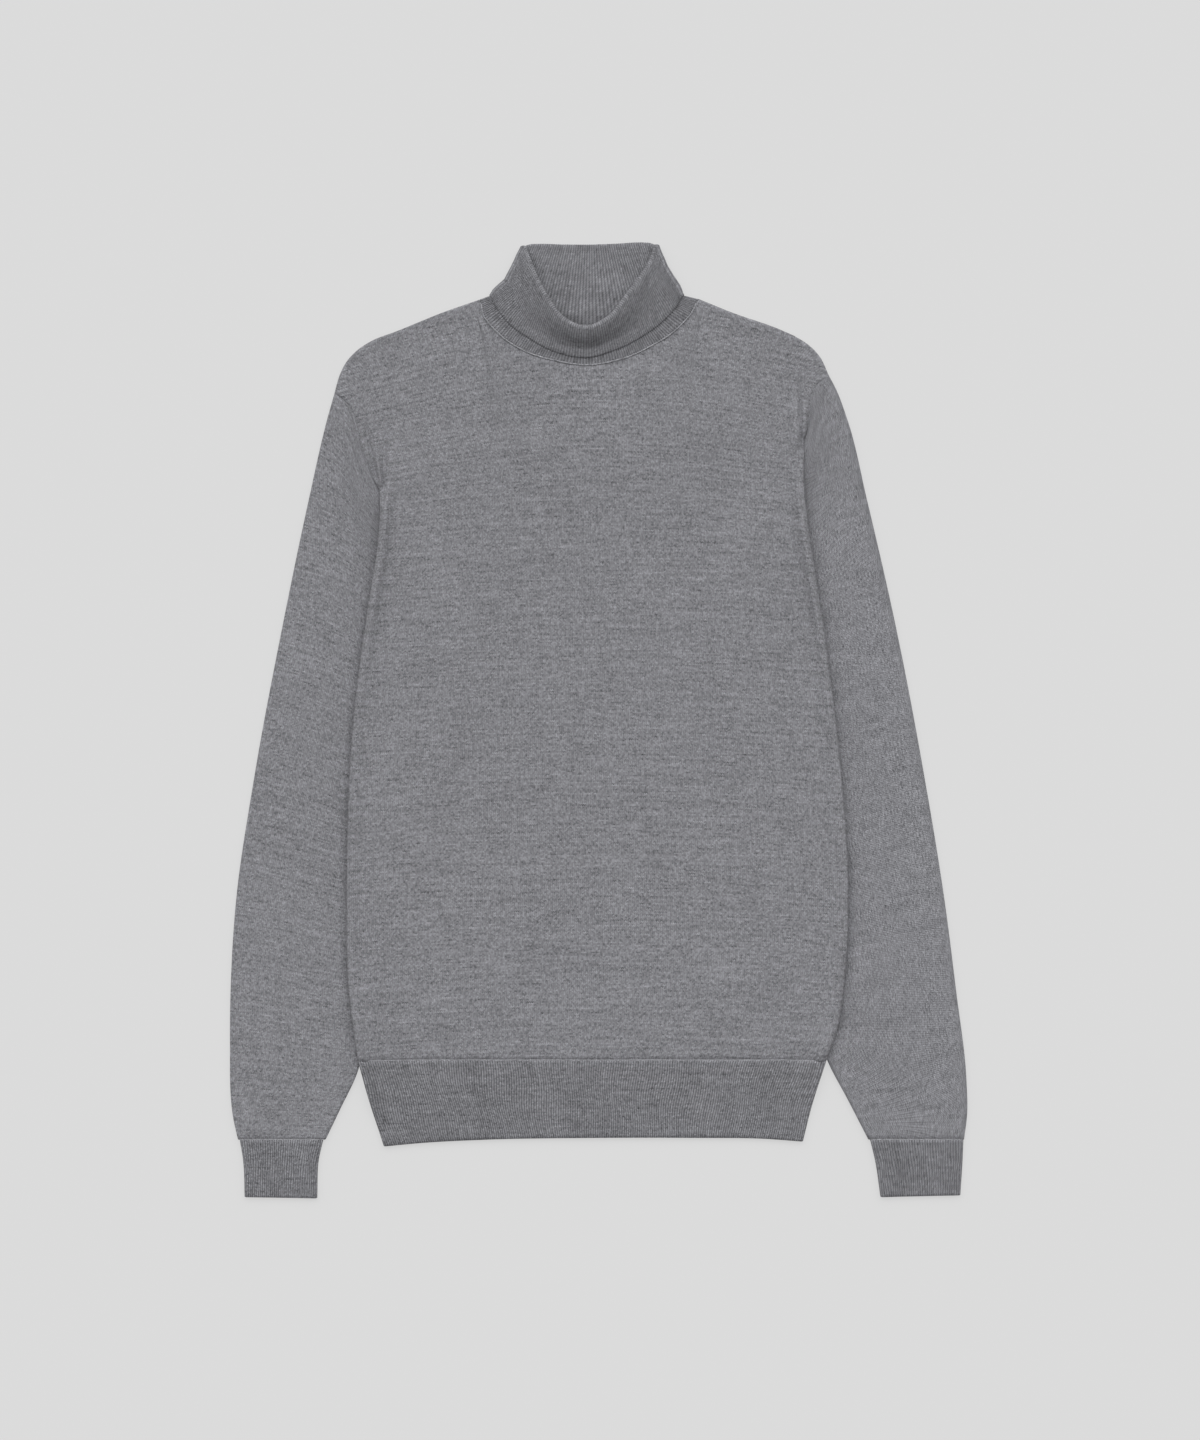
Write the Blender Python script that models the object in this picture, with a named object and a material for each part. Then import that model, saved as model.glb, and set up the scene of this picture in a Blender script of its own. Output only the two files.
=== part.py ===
"""A fine-knit turtleneck sweater laid flat on a table, front up, its sleeves down beside the body.

The origin is on the table under the middle of the garment: +X to the viewer's right, +Y towards
the neck, +Z up. Blender's units are metres; every size and table below is in millimetres from
that origin and is scaled once, when a mesh is made. "Left" and "right" are the viewer's.
"""

from collections import namedtuple

import bmesh
import bpy
import numpy as np

MM = 0.001

# The knit
JERSEY = 1.2  # wall of the plain knit
RIB = 1.4  # wall of the ribbed knit, between its ribs
RIB_RAISE = 0.35  # how far a rib stands out of that wall
RIB_PITCH = 1.8
SEAM = 0.3  # air between linked pieces
PLY_GAP = 0.5  # air between the two layers of a laid piece

# A soft fold at an edge: a quarter round that stands a little proud of the flat cloth
FOLD_HALF = 1.85
FOLD_ROUND = 2.4
FOLD_EASE = 9.0
FOLD_TURN = 0.12  # how soon the wall's direction turns about the end of a fold

# The body rising over the sleeves tucked under its sides
LIFT = 4.1
LIFT_START = 8.0  # how far inboard of the sleeve's edge it stays at its full height
LIFT_RAMP = 36.0

# The collar: one wall folded over at its crest
COLLAR_CORE = 0.9  # from the middle of the folded pair to the middle of either wall
STAND_SHOWS = 0.16  # share of the stand that shows under the turnover
HEM_RIBS = 192
CUFF_RIBS = 36
SHARP_ANGLE = 50.0  # degrees between two faces from which their edge is shaded sharp

Point = namedtuple("Point", "x y")
Fold = namedtuple("Fold", "curve inside cut")  # cut: the way of the seam at the curve's start
Row = namedtuple("Row", "keys points")

# Outer edge of each side, from the neck over the shoulder and down the sleeve to its cuff
LEFT_OUTER = [
    Point(-97.7, 344.0),
    Point(-126.5, 334.0),
    Point(-166.0, 318.0),
    Point(-185.5, 310.5),
    Point(-199.0, 301.5),
    Point(-207.0, 292.5),
    Point(-212.0, 282.5),
    Point(-216.5, 267.0),
    Point(-222.5, 245.5),
    Point(-237.5, 180.0),
    Point(-258.0, 81.5),
    Point(-282.5, -49.5),
    Point(-297.0, -148.0),
    Point(-301.5, -222.0),
    Point(-302.0, -263.0),
    Point(-299.0, -328.5),
    Point(-295.5, -344.0),
]
RIGHT_OUTER = [
    Point(82.2, 344.6),
    Point(109.5, 333.5),
    Point(149.0, 319.5),
    Point(162.0, 313.5),
    Point(175.0, 304.5),
    Point(181.5, 297.0),
    Point(189.0, 281.5),
    Point(194.0, 272.0),
    Point(204.0, 245.5),
    Point(220.0, 180.0),
    Point(242.5, 81.5),
    Point(267.5, -49.5),
    Point(283.5, -148.0),
    Point(293.0, -222.0),
    Point(301.5, -295.5),
    Point(302.0, -324.5),
    Point(299.5, -344.0),
]
# Armhole seams, from the outer edge to the underarm
LEFT_ARMHOLE = [
    Point(-216.5, 267.0),
    Point(-206.0, 258.0),
    Point(-199.0, 242.5),
    Point(-196.0, 227.0),
    Point(-187.5, 205.0),
    Point(-180.0, 189.0),
]
RIGHT_ARMHOLE = [
    Point(189.0, 281.5),
    Point(179.0, 274.0),
    Point(174.5, 264.0),
    Point(173.5, 252.0),
    Point(171.5, 241.0),
    Point(168.5, 230.0),
]
# Side folds of the body, from the underarm to the hem rib
LEFT_SIDE = [
    Point(-180.0, 189.0),
    Point(-179.0, 172.0),
    Point(-181.0, 143.0),
    Point(-189.0, 90.0),
    Point(-199.0, 16.0),
    Point(-204.0, -49.5),
    Point(-206.0, -143.0),
    Point(-204.5, -222.0),
    Point(-197.0, -279.0),
]
RIGHT_SIDE = [
    Point(168.5, 230.0),
    Point(168.5, 188.0),
    Point(171.0, 163.5),
    Point(184.0, 77.5),
    Point(192.5, 12.0),
    Point(199.0, -49.5),
    Point(204.5, -145.0),
    Point(202.0, -205.5),
    Point(195.0, -254.5),
    Point(186.5, -279.0),
]
# Sides and foot of the hem rib
LEFT_HEM = [Point(-197.0, -279.0), Point(-187.5, -313.5), Point(-176.0, -349.5)]
RIGHT_HEM = [Point(186.5, -279.0), Point(176.0, -312.0), Point(167.5, -345.5)]
HEM_FOOT = [
    Point(-176.0, -349.5),
    Point(-143.0, -346.5),
    Point(-94.0, -344.0),
    Point(-5.0, -342.5),
    Point(83.0, -342.5),
    Point(135.5, -343.2),
    Point(167.5, -345.5),
]
# Inner folds of the sleeves: beside the body at the underarm, then under it, then clear of it
LEFT_INNER = [
    Point(-180.0, 189.0),
    Point(-179.4, 175.0),
    Point(-178.0, 162.0),
    Point(-172.0, 148.0),
    Point(-160.0, 132.0),
    Point(-142.0, 108.0),
    Point(-131.0, 73.5),
    Point(-131.5, 24.0),
    Point(-158.5, -78.5),
    Point(-176.0, -148.0),
    Point(-190.5, -230.0),
    Point(-197.0, -287.5),
    Point(-212.0, -320.0),
    Point(-223.5, -344.0),
]
RIGHT_INNER = [
    Point(168.5, 230.0),
    Point(168.7, 216.0),
    Point(167.5, 204.0),
    Point(162.0, 190.0),
    Point(149.0, 172.0),
    Point(129.0, 144.0),
    Point(116.5, 106.0),
    Point(113.0, 57.0),
    Point(136.5, -66.0),
    Point(156.0, -148.0),
    Point(175.0, -230.0),
    Point(186.5, -277.0),
    Point(204.5, -312.0),
    Point(221.0, -344.0),
]
# Edges of the cuffs, from the sleeve to the hand
LEFT_CUFF_OUTER = [Point(-294.0, -344.3), Point(-291.3, -361.0), Point(-290.0, -391.0)]
LEFT_CUFF_INNER = [Point(-225.5, -344.3), Point(-229.0, -359.5), Point(-230.5, -392.0)]
RIGHT_CUFF_OUTER = [Point(299.0, -344.3), Point(298.3, -361.0), Point(296.5, -389.5)]
RIGHT_CUFF_INNER = [Point(222.5, -344.3), Point(226.5, -361.0), Point(231.0, -391.0)]

# The collar, rib by rib: the neck seam, the level of the turnover's free edge and the crest, with
# the heights of the folded pair's middle there and half way up
CollarRib = namedtuple(
    "CollarRib",
    "seam_x seam_y edge_x edge_y crest_x crest_y seam_z edge_z middle_z crest_z",
)
# Its front, from the left fold to the right one
COLLAR_FRONT = [
    CollarRib(-96.5, 342.5, -86.5, 345.5, -58.5, 386.0, 3.5, 6.4, 6.6, 6.8),
    CollarRib(-93.0, 329.0, -81.5, 336.5, -56.0, 373.5, 3.5, 5.6, 6.8, 8.0),
    CollarRib(-81.0, 315.5, -72.5, 325.0, -50.5, 362.0, 3.4, 5.0, 6.8, 9.5),
    CollarRib(-62.5, 303.0, -56.0, 313.0, -40.0, 347.5, 3.2, 4.4, 6.6, 12.0),
    CollarRib(-39.0, 295.0, -35.5, 302.0, -26.0, 330.5, 3.1, 4.1, 6.0, 15.0),
    CollarRib(-10.0, 290.5, -10.0, 297.0, -8.5, 320.0, 3.1, 4.0, 5.8, 16.5),
    CollarRib(17.0, 295.0, 14.5, 304.0, 7.0, 328.5, 3.1, 4.1, 6.0, 15.5),
    CollarRib(42.0, 305.5, 36.5, 315.5, 23.5, 345.5, 3.2, 4.4, 6.6, 13.0),
    CollarRib(62.5, 318.5, 52.0, 327.0, 35.0, 363.5, 3.4, 5.0, 6.8, 10.0),
    CollarRib(75.0, 331.5, 62.0, 338.0, 41.5, 374.5, 3.5, 5.6, 6.8, 8.2),
    CollarRib(81.0, 343.0, 67.0, 346.0, 45.5, 386.5, 3.5, 6.4, 6.6, 6.8),
]
# Its back, which lies flat, from the right fold to the left one
COLLAR_BACK = [
    CollarRib(81.0, 343.0, 67.0, 346.0, 45.5, 386.5, -0.1, 1.6, 1.6, 1.6),
    CollarRib(58.5, 334.0, 52.5, 342.0, 34.0, 388.0, -0.1, 1.6, 1.6, 1.6),
    CollarRib(30.0, 327.0, 27.0, 336.5, 13.5, 386.8, -0.1, 1.6, 1.6, 1.6),
    CollarRib(-7.0, 323.5, -7.0, 333.5, -7.0, 386.0, -0.1, 1.6, 1.6, 1.6),
    CollarRib(-44.0, 327.0, -41.5, 336.5, -29.0, 386.3, -0.1, 1.6, 1.6, 1.6),
    CollarRib(-74.0, 334.0, -69.0, 342.0, -48.0, 387.2, -0.1, 1.6, 1.6, 1.6),
    CollarRib(-96.5, 342.5, -86.5, 345.5, -58.5, 386.0, -0.1, 1.6, 1.6, 1.6),
]
# Directions in plan, in degrees from +X, that the collar's right fold faces; the left one mirrors it
CollarFold = namedtuple("CollarFold", "seam edge crest")
COLLAR_FACING = CollarFold(65.0, 42.0, 32.0)

WOOL = (0.215, 0.215, 0.228, 1.0)
RIB_WOOL = (0.19, 0.19, 0.202, 1.0)


def smooth(share):
    """An S-shaped ramp from 0 to 1."""
    share = np.clip(share, 0.0, 1.0)
    return share * share * (3.0 - 2.0 * share)


def hermite(knots, values, at):
    """Values on a smooth curve through the knots."""
    knots, values, at = (np.asarray(part, float) for part in (knots, values, at))
    slopes = np.gradient(values, knots, axis=0)
    low = np.clip(np.searchsorted(knots, at, side="right") - 1, 0, len(knots) - 2)
    step = (knots[low + 1] - knots[low])[:, None]
    share = (at - knots[low])[:, None] / step
    rest = 1.0 - share
    near = (1.0 + 2.0 * share) * rest**2 * values[low]
    far = share**2 * (3.0 - 2.0 * share) * values[low + 1]
    bend = share * rest**2 * slopes[low] - share**2 * rest * slopes[low + 1]
    return near + far + bend * step


def lengths(points):
    """Length along a run of points, up to each of them."""
    steps = np.linalg.norm(np.diff(points, axis=0), axis=1)
    return np.concatenate(([0.0], np.cumsum(steps)))


def spline(points, samples):
    """Close samples along a smooth curve through the points."""
    points = np.array(points, float)
    knots = lengths(points)
    return hermite(knots, points, np.linspace(0.0, knots[-1], samples))


def along(curve, share):
    """Points at shares of a sampled curve's length."""
    run = lengths(curve)
    at = np.asarray(share, float) * run[-1]
    return np.stack([np.interp(at, run, curve[:, axis]) for axis in (0, 1)], axis=-1)


def run_at(curve, point):
    """Length along a curve up to the place nearest to a point."""
    step = np.diff(curve, axis=0)
    off = np.array(point) - curve[:-1]
    share = np.clip((off * step).sum(1) / (step * step).sum(1), 0.0, 1.0)
    nearest = np.linalg.norm(off - share[:, None] * step, axis=1).argmin()
    return lengths(curve)[nearest] + share[nearest] * np.linalg.norm(step[nearest])


def part_of(curve, start, end):
    """The stretch of a curve between the places nearest to two points."""
    run = lengths(curve)
    low, high = sorted((run_at(curve, start), run_at(curve, end)))
    within = curve[(run > low) & (run < high)]
    ends = along(curve, np.array([low, high]) / run[-1])
    stretch = np.vstack([ends[:1], within, ends[1:]])
    return stretch if run_at(curve, start) < run_at(curve, end) else stretch[::-1]


def turned(vectors):
    """Plan vectors turned a quarter turn to the left."""
    return np.stack([-vectors[..., 1], vectors[..., 0]], axis=-1)


def beside(curve, offset):
    """A curve moved sideways, to the left of its direction when offset is positive."""
    ahead = np.gradient(curve, axis=0)
    ahead /= np.linalg.norm(ahead, axis=1, keepdims=True)
    return curve + offset * turned(ahead)


def from_curve(points, curve):
    """How far plan points are from a curve, the way from it to them, and its left-hand normal."""
    step = np.diff(curve, axis=0)
    off = points[:, None, :] - curve[None, :-1, :]
    share = np.clip((off * step).sum(2) / (step * step).sum(1), 0.0, 1.0)
    off -= share[..., None] * step
    far = np.linalg.norm(off, axis=2)
    nearest = far.argmin(1)
    column = np.arange(len(points))
    normal = turned(step[nearest])
    normal /= np.linalg.norm(normal, axis=1, keepdims=True)
    normal[(nearest == 0) & (share[column, nearest] == 0.0)] = 0.0
    return far.min(1), off[column, nearest], normal


def from_folds(points, folds):
    """Distance of plan points from the nearest fold, and the direction into the cloth there."""
    found = [from_curve(points, fold.curve) for fold in folds]
    first = np.array([far for far, _, _ in found]).argmin(0)
    near, inward = np.zeros(len(points)), np.zeros((len(points), 2))
    for index, (fold, (far, away, normal)) in enumerate(zip(folds, found)):
        held = first == index
        at_start = ~normal.any(axis=1, keepdims=True)
        way = away + FOLD_TURN * np.where(at_start, fold.cut, fold.inside * normal)
        way /= np.linalg.norm(way, axis=1, keepdims=True)
        near[held], inward[held] = far[held], way[held]
    return near, inward


def laid(plan, folds, wall, upper, lift=0.0, seam=0.0):
    """Outer and inner faces of one layer of cloth laid flat, over plan points.

    The upper layer falls to the middle of a fold and the lower one rises to it. lift is the height
    of what lies underneath, and seam the air between the two layers' edges at the fold.
    """
    near, inward = from_folds(plan, folds)
    share = np.clip(near / FOLD_ROUND, 0.0, 1.0)
    rise = np.sqrt(1.0 - (1.0 - share) ** 2)
    settle = 1.0 - np.exp(-((np.maximum(near - FOLD_ROUND, 0.0) / FOLD_EASE) ** 2))
    proud = 2.0 * FOLD_HALF - 2.0 * wall - PLY_GAP
    edge = seam / 2.0 * (1.0 - rise)
    if upper:
        outer_z = FOLD_HALF + FOLD_HALF * rise - proud * settle + edge
        inner_z = FOLD_HALF + (FOLD_HALF - wall) * rise - proud * settle + edge
    else:
        outer_z = FOLD_HALF - FOLD_HALF * rise - edge
        inner_z = FOLD_HALF - (FOLD_HALF - wall) * rise - edge
    inner_plan = plan + inward * (wall * (1.0 - share))[:, None]
    return (
        np.column_stack([plan, outer_z + lift]),
        np.column_stack([inner_plan, inner_z + lift]),
        rise,
    )


def patch(foot, head, left, right, across, up):
    """Plan points of a panel from its four borders, each sampled along the rows or columns."""
    a, b = across[..., None], up[..., None]
    ruled = (1 - b) * foot + b * head + (1 - a) * left + a * right
    corners = (1 - a) * (1 - b) * foot[0, 0] + a * (1 - b) * foot[-1, -1]
    return ruled - corners - (1 - a) * b * head[0, 0] - a * b * head[-1, -1]


def steps_across(width, near, count):
    """Shares of a width: given distances in from both edges, and a count of even steps between."""
    near = np.asarray(near) / width
    middle = np.linspace(near[-1], 1.0 - near[-1], count + 1)[1:-1]
    return np.concatenate([near, middle, 1.0 - near[::-1]])


# ---- borders shared by the pieces ----

SIDES = ("left", "right")
OUTER_SAMPLES = 900
ARMHOLE_SAMPLES = 400
SIDE_SAMPLES = 600
HEM_SAMPLES = 120
CUT_SAMPLES = 8  # of an armhole's curve, over which its way at the underarm is measured
INWARD = {"left": 1.0, "right": -1.0}  # the garment's side of a curve that runs down its edge
HALF_SEAM = SEAM / 2.0



def both(left, right, samples):
    """The curves through a table of the left side's points and one of the right side's."""
    return {"left": spline(left, samples), "right": spline(right, samples)}


OUTER = both(LEFT_OUTER, RIGHT_OUTER, OUTER_SAMPLES)
ARMHOLE = both(LEFT_ARMHOLE, RIGHT_ARMHOLE, ARMHOLE_SAMPLES)
SIDE = both(LEFT_SIDE, RIGHT_SIDE, SIDE_SAMPLES)
HEM_SIDE = both(LEFT_HEM, RIGHT_HEM, HEM_SAMPLES)
INNER = both(LEFT_INNER, RIGHT_INNER, SIDE_SAMPLES)

# The body's and the sleeves' own edges, half a seam to either side of the seams they share
Edges = namedtuple("Edges", "armhole side hem sleeve_armhole sleeve_inner")


def trimmed(curve, start, end):
    """A curve without a length at its start and at its end."""
    run = lengths(curve)[-1]
    return along(curve, np.linspace(start / run, 1.0 - end / run, len(curve)))


def edges_of(side):
    """The edges on one side of the garment, all running down."""
    sign = INWARD[side] * HALF_SEAM
    counts = np.cumsum([len(ARMHOLE[side]), len(SIDE[side]) - 1])
    chain = np.vstack([ARMHOLE[side], SIDE[side][1:], HEM_SIDE[side][1:]])
    body = beside(chain, sign)
    sleeve_chain = beside(np.vstack([ARMHOLE[side], INNER[side][1:]]), -sign)
    armhole, sleeve_armhole = body[: counts[0]], sleeve_chain[: counts[0]]
    run = lengths(OUTER[side])[-1]
    for edge in (armhole, sleeve_armhole):
        edge[0] = along(OUTER[side], run_at(OUTER[side], edge[0]) / run)
    return Edges(
        armhole,
        trimmed(body[counts[0] - 1 : counts[1]], 0.0, HALF_SEAM),
        trimmed(body[counts[1] - 1 :], HALF_SEAM, 0.0),
        sleeve_armhole,
        sleeve_chain[counts[0] - 1 :],
    )


def unit(vector):
    """A vector at length 1."""
    return np.array(vector) / np.linalg.norm(vector)


EDGES = {side: edges_of(side) for side in SIDES}
NECK_CUT = {
    "left": unit(np.subtract(COLLAR_FRONT[1][0:2], COLLAR_FRONT[0][0:2])),
    "right": unit(np.subtract(COLLAR_FRONT[-2][0:2], COLLAR_FRONT[-1][0:2])),
}
ARM_CUT = {side: unit(ARMHOLE[side][-1 - CUT_SAMPLES] - ARMHOLE[side][-1]) for side in SIDES}
OUTER_FOLDS = {side: Fold(OUTER[side], INWARD[side], NECK_CUT[side]) for side in SIDES}
INNER_FOLDS = {
    side: Fold(EDGES[side].sleeve_inner, -INWARD[side], ARM_CUT[side]) for side in SIDES
}
BODY_FOLDS = list(OUTER_FOLDS.values())
BODY_FOLDS += [
    Fold(np.vstack([EDGES[side].side, EDGES[side].hem[1:]]), sign, np.array([sign, 0.0]))
    for side, sign in INWARD.items()
]

# How high the body's side lies over the sleeve, from above the underarm to below it
Underarm = namedtuple("Underarm", "ridge_top ridge_full edge_top edge_full strip")
UNDERARM = {
    "left": Underarm(240.0, 180.0, 189.0, 166.0, 9.0),
    "right": Underarm(264.0, 218.0, 230.0, 207.0, 7.0),
}


def sleeve_edge_x(side, y):
    """Where the inner edge of a sleeve lies at a height up the garment."""
    upward = INNER[side][::-1]
    return np.interp(y, upward[:, 1], upward[:, 0])


def lift_over_sleeves(plan):
    """Height of the body's underside: it rises at each side, where a sleeve is tucked under it."""
    lift = np.zeros(len(plan))
    for side in SIDES:
        arm = UNDERARM[side]
        inboard = INWARD[side] * (plan[:, 0] - sleeve_edge_x(side, plan[:, 1]))
        across = smooth(1.0 - (inboard - LIFT_START) / LIFT_RAMP)
        ridge = smooth((arm.ridge_top - plan[:, 1]) / (arm.ridge_top - arm.ridge_full))
        edge = smooth((arm.edge_top - plan[:, 1]) / (arm.edge_top - arm.edge_full))
        border = np.vstack([EDGES[side].armhole, EDGES[side].side[1:]])
        inside = smooth(from_curve(plan, border)[0] / arm.strip)
        lift += LIFT * across * (edge + (ridge - edge) * inside)
    return lift


# ---- meshes ----


def stitch(bm, first, second, closed=False):
    """Fills the band between two rows of vertices, each joined to those nearest to it by key."""
    (keys_a, a), (keys_b, b) = first, second
    keys_a, keys_b, a, b = list(keys_a), list(keys_b), list(a), list(b)
    if closed:
        turn = 1.0
        keys_a, keys_b = keys_a + [keys_a[0] + turn], keys_b + [keys_b[0] + turn]
        a, b = a + [a[0]], b + [b[0]]
    i = j = 0
    same = 1e-9
    while i < len(a) - 1 or j < len(b) - 1:
        next_a = keys_a[i + 1] if i < len(a) - 1 else np.inf
        next_b = keys_b[j + 1] if j < len(b) - 1 else np.inf
        if abs(next_a - next_b) < same:
            bm.faces.new((a[i], a[i + 1], b[j + 1]))
            bm.faces.new((a[i], b[j + 1], b[j]))
            i, j = i + 1, j + 1
        elif next_a + keys_a[i] < next_b + keys_b[j]:
            bm.faces.new((a[i], a[i + 1], b[j]))
            i += 1
        else:
            bm.faces.new((a[i], b[j + 1], b[j]))
            j += 1


def wool(name, colour):
    """A plain knitted-wool material."""
    material = bpy.data.materials.new(name)
    material.use_nodes = True
    shader = material.node_tree.nodes["Principled BSDF"]
    shader.inputs["Base Color"].default_value = colour
    shader.inputs["Roughness"].default_value = 0.9
    shader.inputs["Metallic"].default_value = 0.0
    return material


def cloth(name, outer, inner, colour, closed=False):
    """One closed wall between two sets of rows, as an object; closed rows make a tube."""
    bm = bmesh.new()
    faces = []
    for rows in (outer, inner):
        made = [(row.keys, [bm.verts.new(point * MM) for point in row.points]) for row in rows]
        for first, second in zip(made, made[1:]):
            stitch(bm, first, second, closed)
        faces.append(made)
    outside, inside = faces
    stitch(bm, outside[0], inside[0], closed)
    stitch(bm, outside[-1], inside[-1], closed)
    if not closed:
        for end in (0, -1):
            chains = [[row[1][end] for row in made] for made in faces]
            keys = [np.linspace(0.0, 1.0, len(chain)) for chain in chains]
            stitch(bm, (keys[0], chains[0]), (keys[1], chains[1]))
    bmesh.ops.recalc_face_normals(bm, faces=bm.faces)
    mesh = bpy.data.meshes.new(name)
    bm.to_mesh(mesh)
    bm.free()
    mesh.shade_smooth()
    mesh.set_sharp_from_angle(angle=np.radians(SHARP_ANGLE))
    mesh.materials.append(wool(f"{name}_wool", colour))
    piece = bpy.data.objects.new(name, mesh)
    bpy.context.scene.collection.objects.link(piece)
    return piece


# ---- the body ----

ROLL_STEPS = (0.0, 0.5, FOLD_ROUND, 14.0)  # distances in from a fold
SEAM_STEPS = (0.0, 0.5, FOLD_ROUND, 9.0)  # distances from both ends of an armhole
RAMP_STEPS = (0.0, 12.0, 24.0, LIFT_RAMP)  # distances down the slope beside a tucked sleeve
LEAST_TUCK = 12.0
MIDDLE_STEPS = 6  # steps across the middle of a sleeve or along that of an armhole
SIDE_ROWS = (0.0, 0.06, 0.15, 0.31, 0.5, 0.67, 0.78, 0.84, 0.885, 0.92, 0.955, 0.98, 1.0)
NECK_SHARES = (0.292, 0.739)  # where the neck starts and ends across the panels' heads
NECK_FLANK = (10.0, 4.0)  # columns on the shoulder, this far from the neck
FLANK_KEYS = np.array([0.06, 0.03])  # how far the keys of those lie from the neck's
NECK_SPLAY = 0.4  # how far the rows by the neck's ends lean out as they go down
BELOW_NECK = (0.22, 0.288, 0.35, 0.4, 0.45, 0.51, 0.57, 0.63, 0.69, 0.745, 0.81)  # columns
CENTRE = (0.4, 0.5, 0.6)  # columns of the rows further down
SHOULDER_END = 0.2  # share of a head over which its rows turn towards the armhole
RIBS_A_STEP = 3  # ribs to a step of a ribbed piece's plain face
HEM_BACK_COUNT = 9  # columns of the back hem's plain faces
LEAST_STEP = 0.3  # between two columns of a hem
KEY = 0.02  # what two neighbouring columns by a fold differ by in their keys
HEM_LINE = np.array([LEFT_SIDE[-1], RIGHT_SIDE[-1]])


def neck_edge(stations, count):
    """A panel's neck edge, left to right, from the silhouette past the collar's seam points."""
    samples = collar_count(stations)
    share = coarse_samples(samples, count) / (samples - 1)
    at = hermite(collar_run(stations), np.array(stations), share)[:, 0:2]
    if at[0, 0] > at[-1, 0]:
        at = at[::-1]
    seam = beside(at, -SEAM)
    return np.vstack([LEFT_OUTER[0], seam, RIGHT_OUTER[0]])


def along_head(neck, neck_at, share):
    """Plan points at shares of a panel's upper border: shoulder, neck and shoulder."""
    low, high = NECK_SHARES
    left = part_of(OUTER["left"], EDGES["left"].armhole[0], LEFT_OUTER[0])
    right = part_of(OUTER["right"], RIGHT_OUTER[0], EDGES["right"].armhole[0])
    on_neck = np.stack([np.interp(share, neck_at, neck[:, axis]) for axis in (0, 1)], axis=-1)
    on_left = along(left, np.clip(share / low, 0.0, 1.0))
    on_right = along(right, np.clip((share - high) / (1.0 - high), 0.0, 1.0))
    head = np.where((share < low)[:, None], on_left, on_neck)
    return np.where((share > high)[:, None], on_right, head)


def row_below_head(neck, neck_at, share, depth, nodes):
    """Plan points of a row that follows a panel's head, a distance down it."""
    low, high = NECK_SHARES
    at_left = smooth(1.0 - share / SHOULDER_END)[:, None]
    at_right = smooth(1.0 - (1.0 - share) / SHOULDER_END)[:, None]
    lean = np.interp(share, (low, high), (-NECK_SPLAY, NECK_SPLAY))
    down = depth * np.column_stack([lean, np.full(len(share), -1.0)])
    ends = along_head(neck, neck_at, np.array([0.0, 1.0]))
    row = along_head(neck, neck_at, share) + (1.0 - at_left - at_right) * down
    return row + at_left * (nodes[0] - ends[0]) + at_right * (nodes[1] - ends[1])


def edge_shares(left, right):
    """Shares across a row at which it has columns by its left and right ends."""
    width = np.linalg.norm(right - left)
    found = []
    for side, (x, y), (_, far_y) in (("left", left, right), ("right", right, left)):
        tuck = INWARD[side] * (sleeve_edge_x(side, y) - x)
        y = y + (far_y - y) * tuck / width
        tuck = max(INWARD[side] * (sleeve_edge_x(side, y) - x), LEAST_TUCK) + LIFT_START
        found.append(np.concatenate([ROLL_STEPS, tuck + np.array(RAMP_STEPS)]) / width)
    return found[0], 1.0 - found[1][::-1]


def panel_rows(neck):
    """Rows of a body panel, hem seam to shoulders: the columns' keys and their plan points."""
    low, high = NECK_SHARES
    neck_at = low + (high - low) * lengths(neck) / lengths(neck)[-1]
    flank = np.array(NECK_FLANK)
    rows = []

    def add(left, right, middle, keys, plan_at):
        near_left, near_right = edge_shares(left, right)
        edge_keys = KEY * np.arange(len(near_left))
        share = np.concatenate([near_left, middle, near_right])
        rows.append(Row(np.concatenate([edge_keys, keys, 1.0 - edge_keys[::-1]]), plan_at(share)))

    def ruled(left, right):
        return lambda share: (1 - share)[:, None] * left + share[:, None] * right

    folds = [along(EDGES[side].side[::-1], np.array(SIDE_ROWS)) for side in SIDES]
    for left, right in zip(*folds):
        add(left, right, CENTRE, CENTRE, ruled(left, right))
    nodes = []
    for side in SIDES:
        armhole = EDGES[side].armhole[::-1]
        shares = steps_across(lengths(armhole)[-1], SEAM_STEPS, MIDDLE_STEPS)
        nodes.append(along(armhole, shares))
    nodes = np.array(nodes)
    band = len(SEAM_STEPS)
    yoke = nodes[:, -band]
    foot = ruled(nodes[0, 0], nodes[1, 0])
    count = nodes.shape[1] - band
    for index in range(1, count):
        left, right = nodes[:, index]
        up = [lengths(edge)[index] / lengths(edge)[-band] for edge in nodes]

        def between(share, left=left, right=right, up=up):
            a = share[:, None]
            b = (1 - a) * up[0] + a * up[1]
            head = row_below_head(neck, neck_at, share, SEAM_STEPS[-1], yoke)
            off_left = left - (1 - up[0]) * nodes[0, 0] - up[0] * yoke[0]
            off_right = right - (1 - up[1]) * nodes[1, 0] - up[1] * yoke[1]
            return (1 - b) * foot(share) + b * head + (1 - a) * off_left + a * off_right

        middle = BELOW_NECK if index >= band else CENTRE
        add(left, right, middle, middle, between)
    for index in range(count, nodes.shape[1]):
        left, right = nodes[:, index]
        depth = SEAM_STEPS[nodes.shape[1] - 1 - index]
        width = np.linalg.norm(right - left)
        middle = np.concatenate([low - flank / width, neck_at, high + flank[::-1] / width])
        keys = np.concatenate([low - FLANK_KEYS, neck_at, high + FLANK_KEYS[::-1]])

        def at_top(share, depth=depth, ends=nodes[:, index]):
            return row_below_head(neck, neck_at, share, depth, ends)

        add(left, right, middle, keys, at_top)
    return rows


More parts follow.
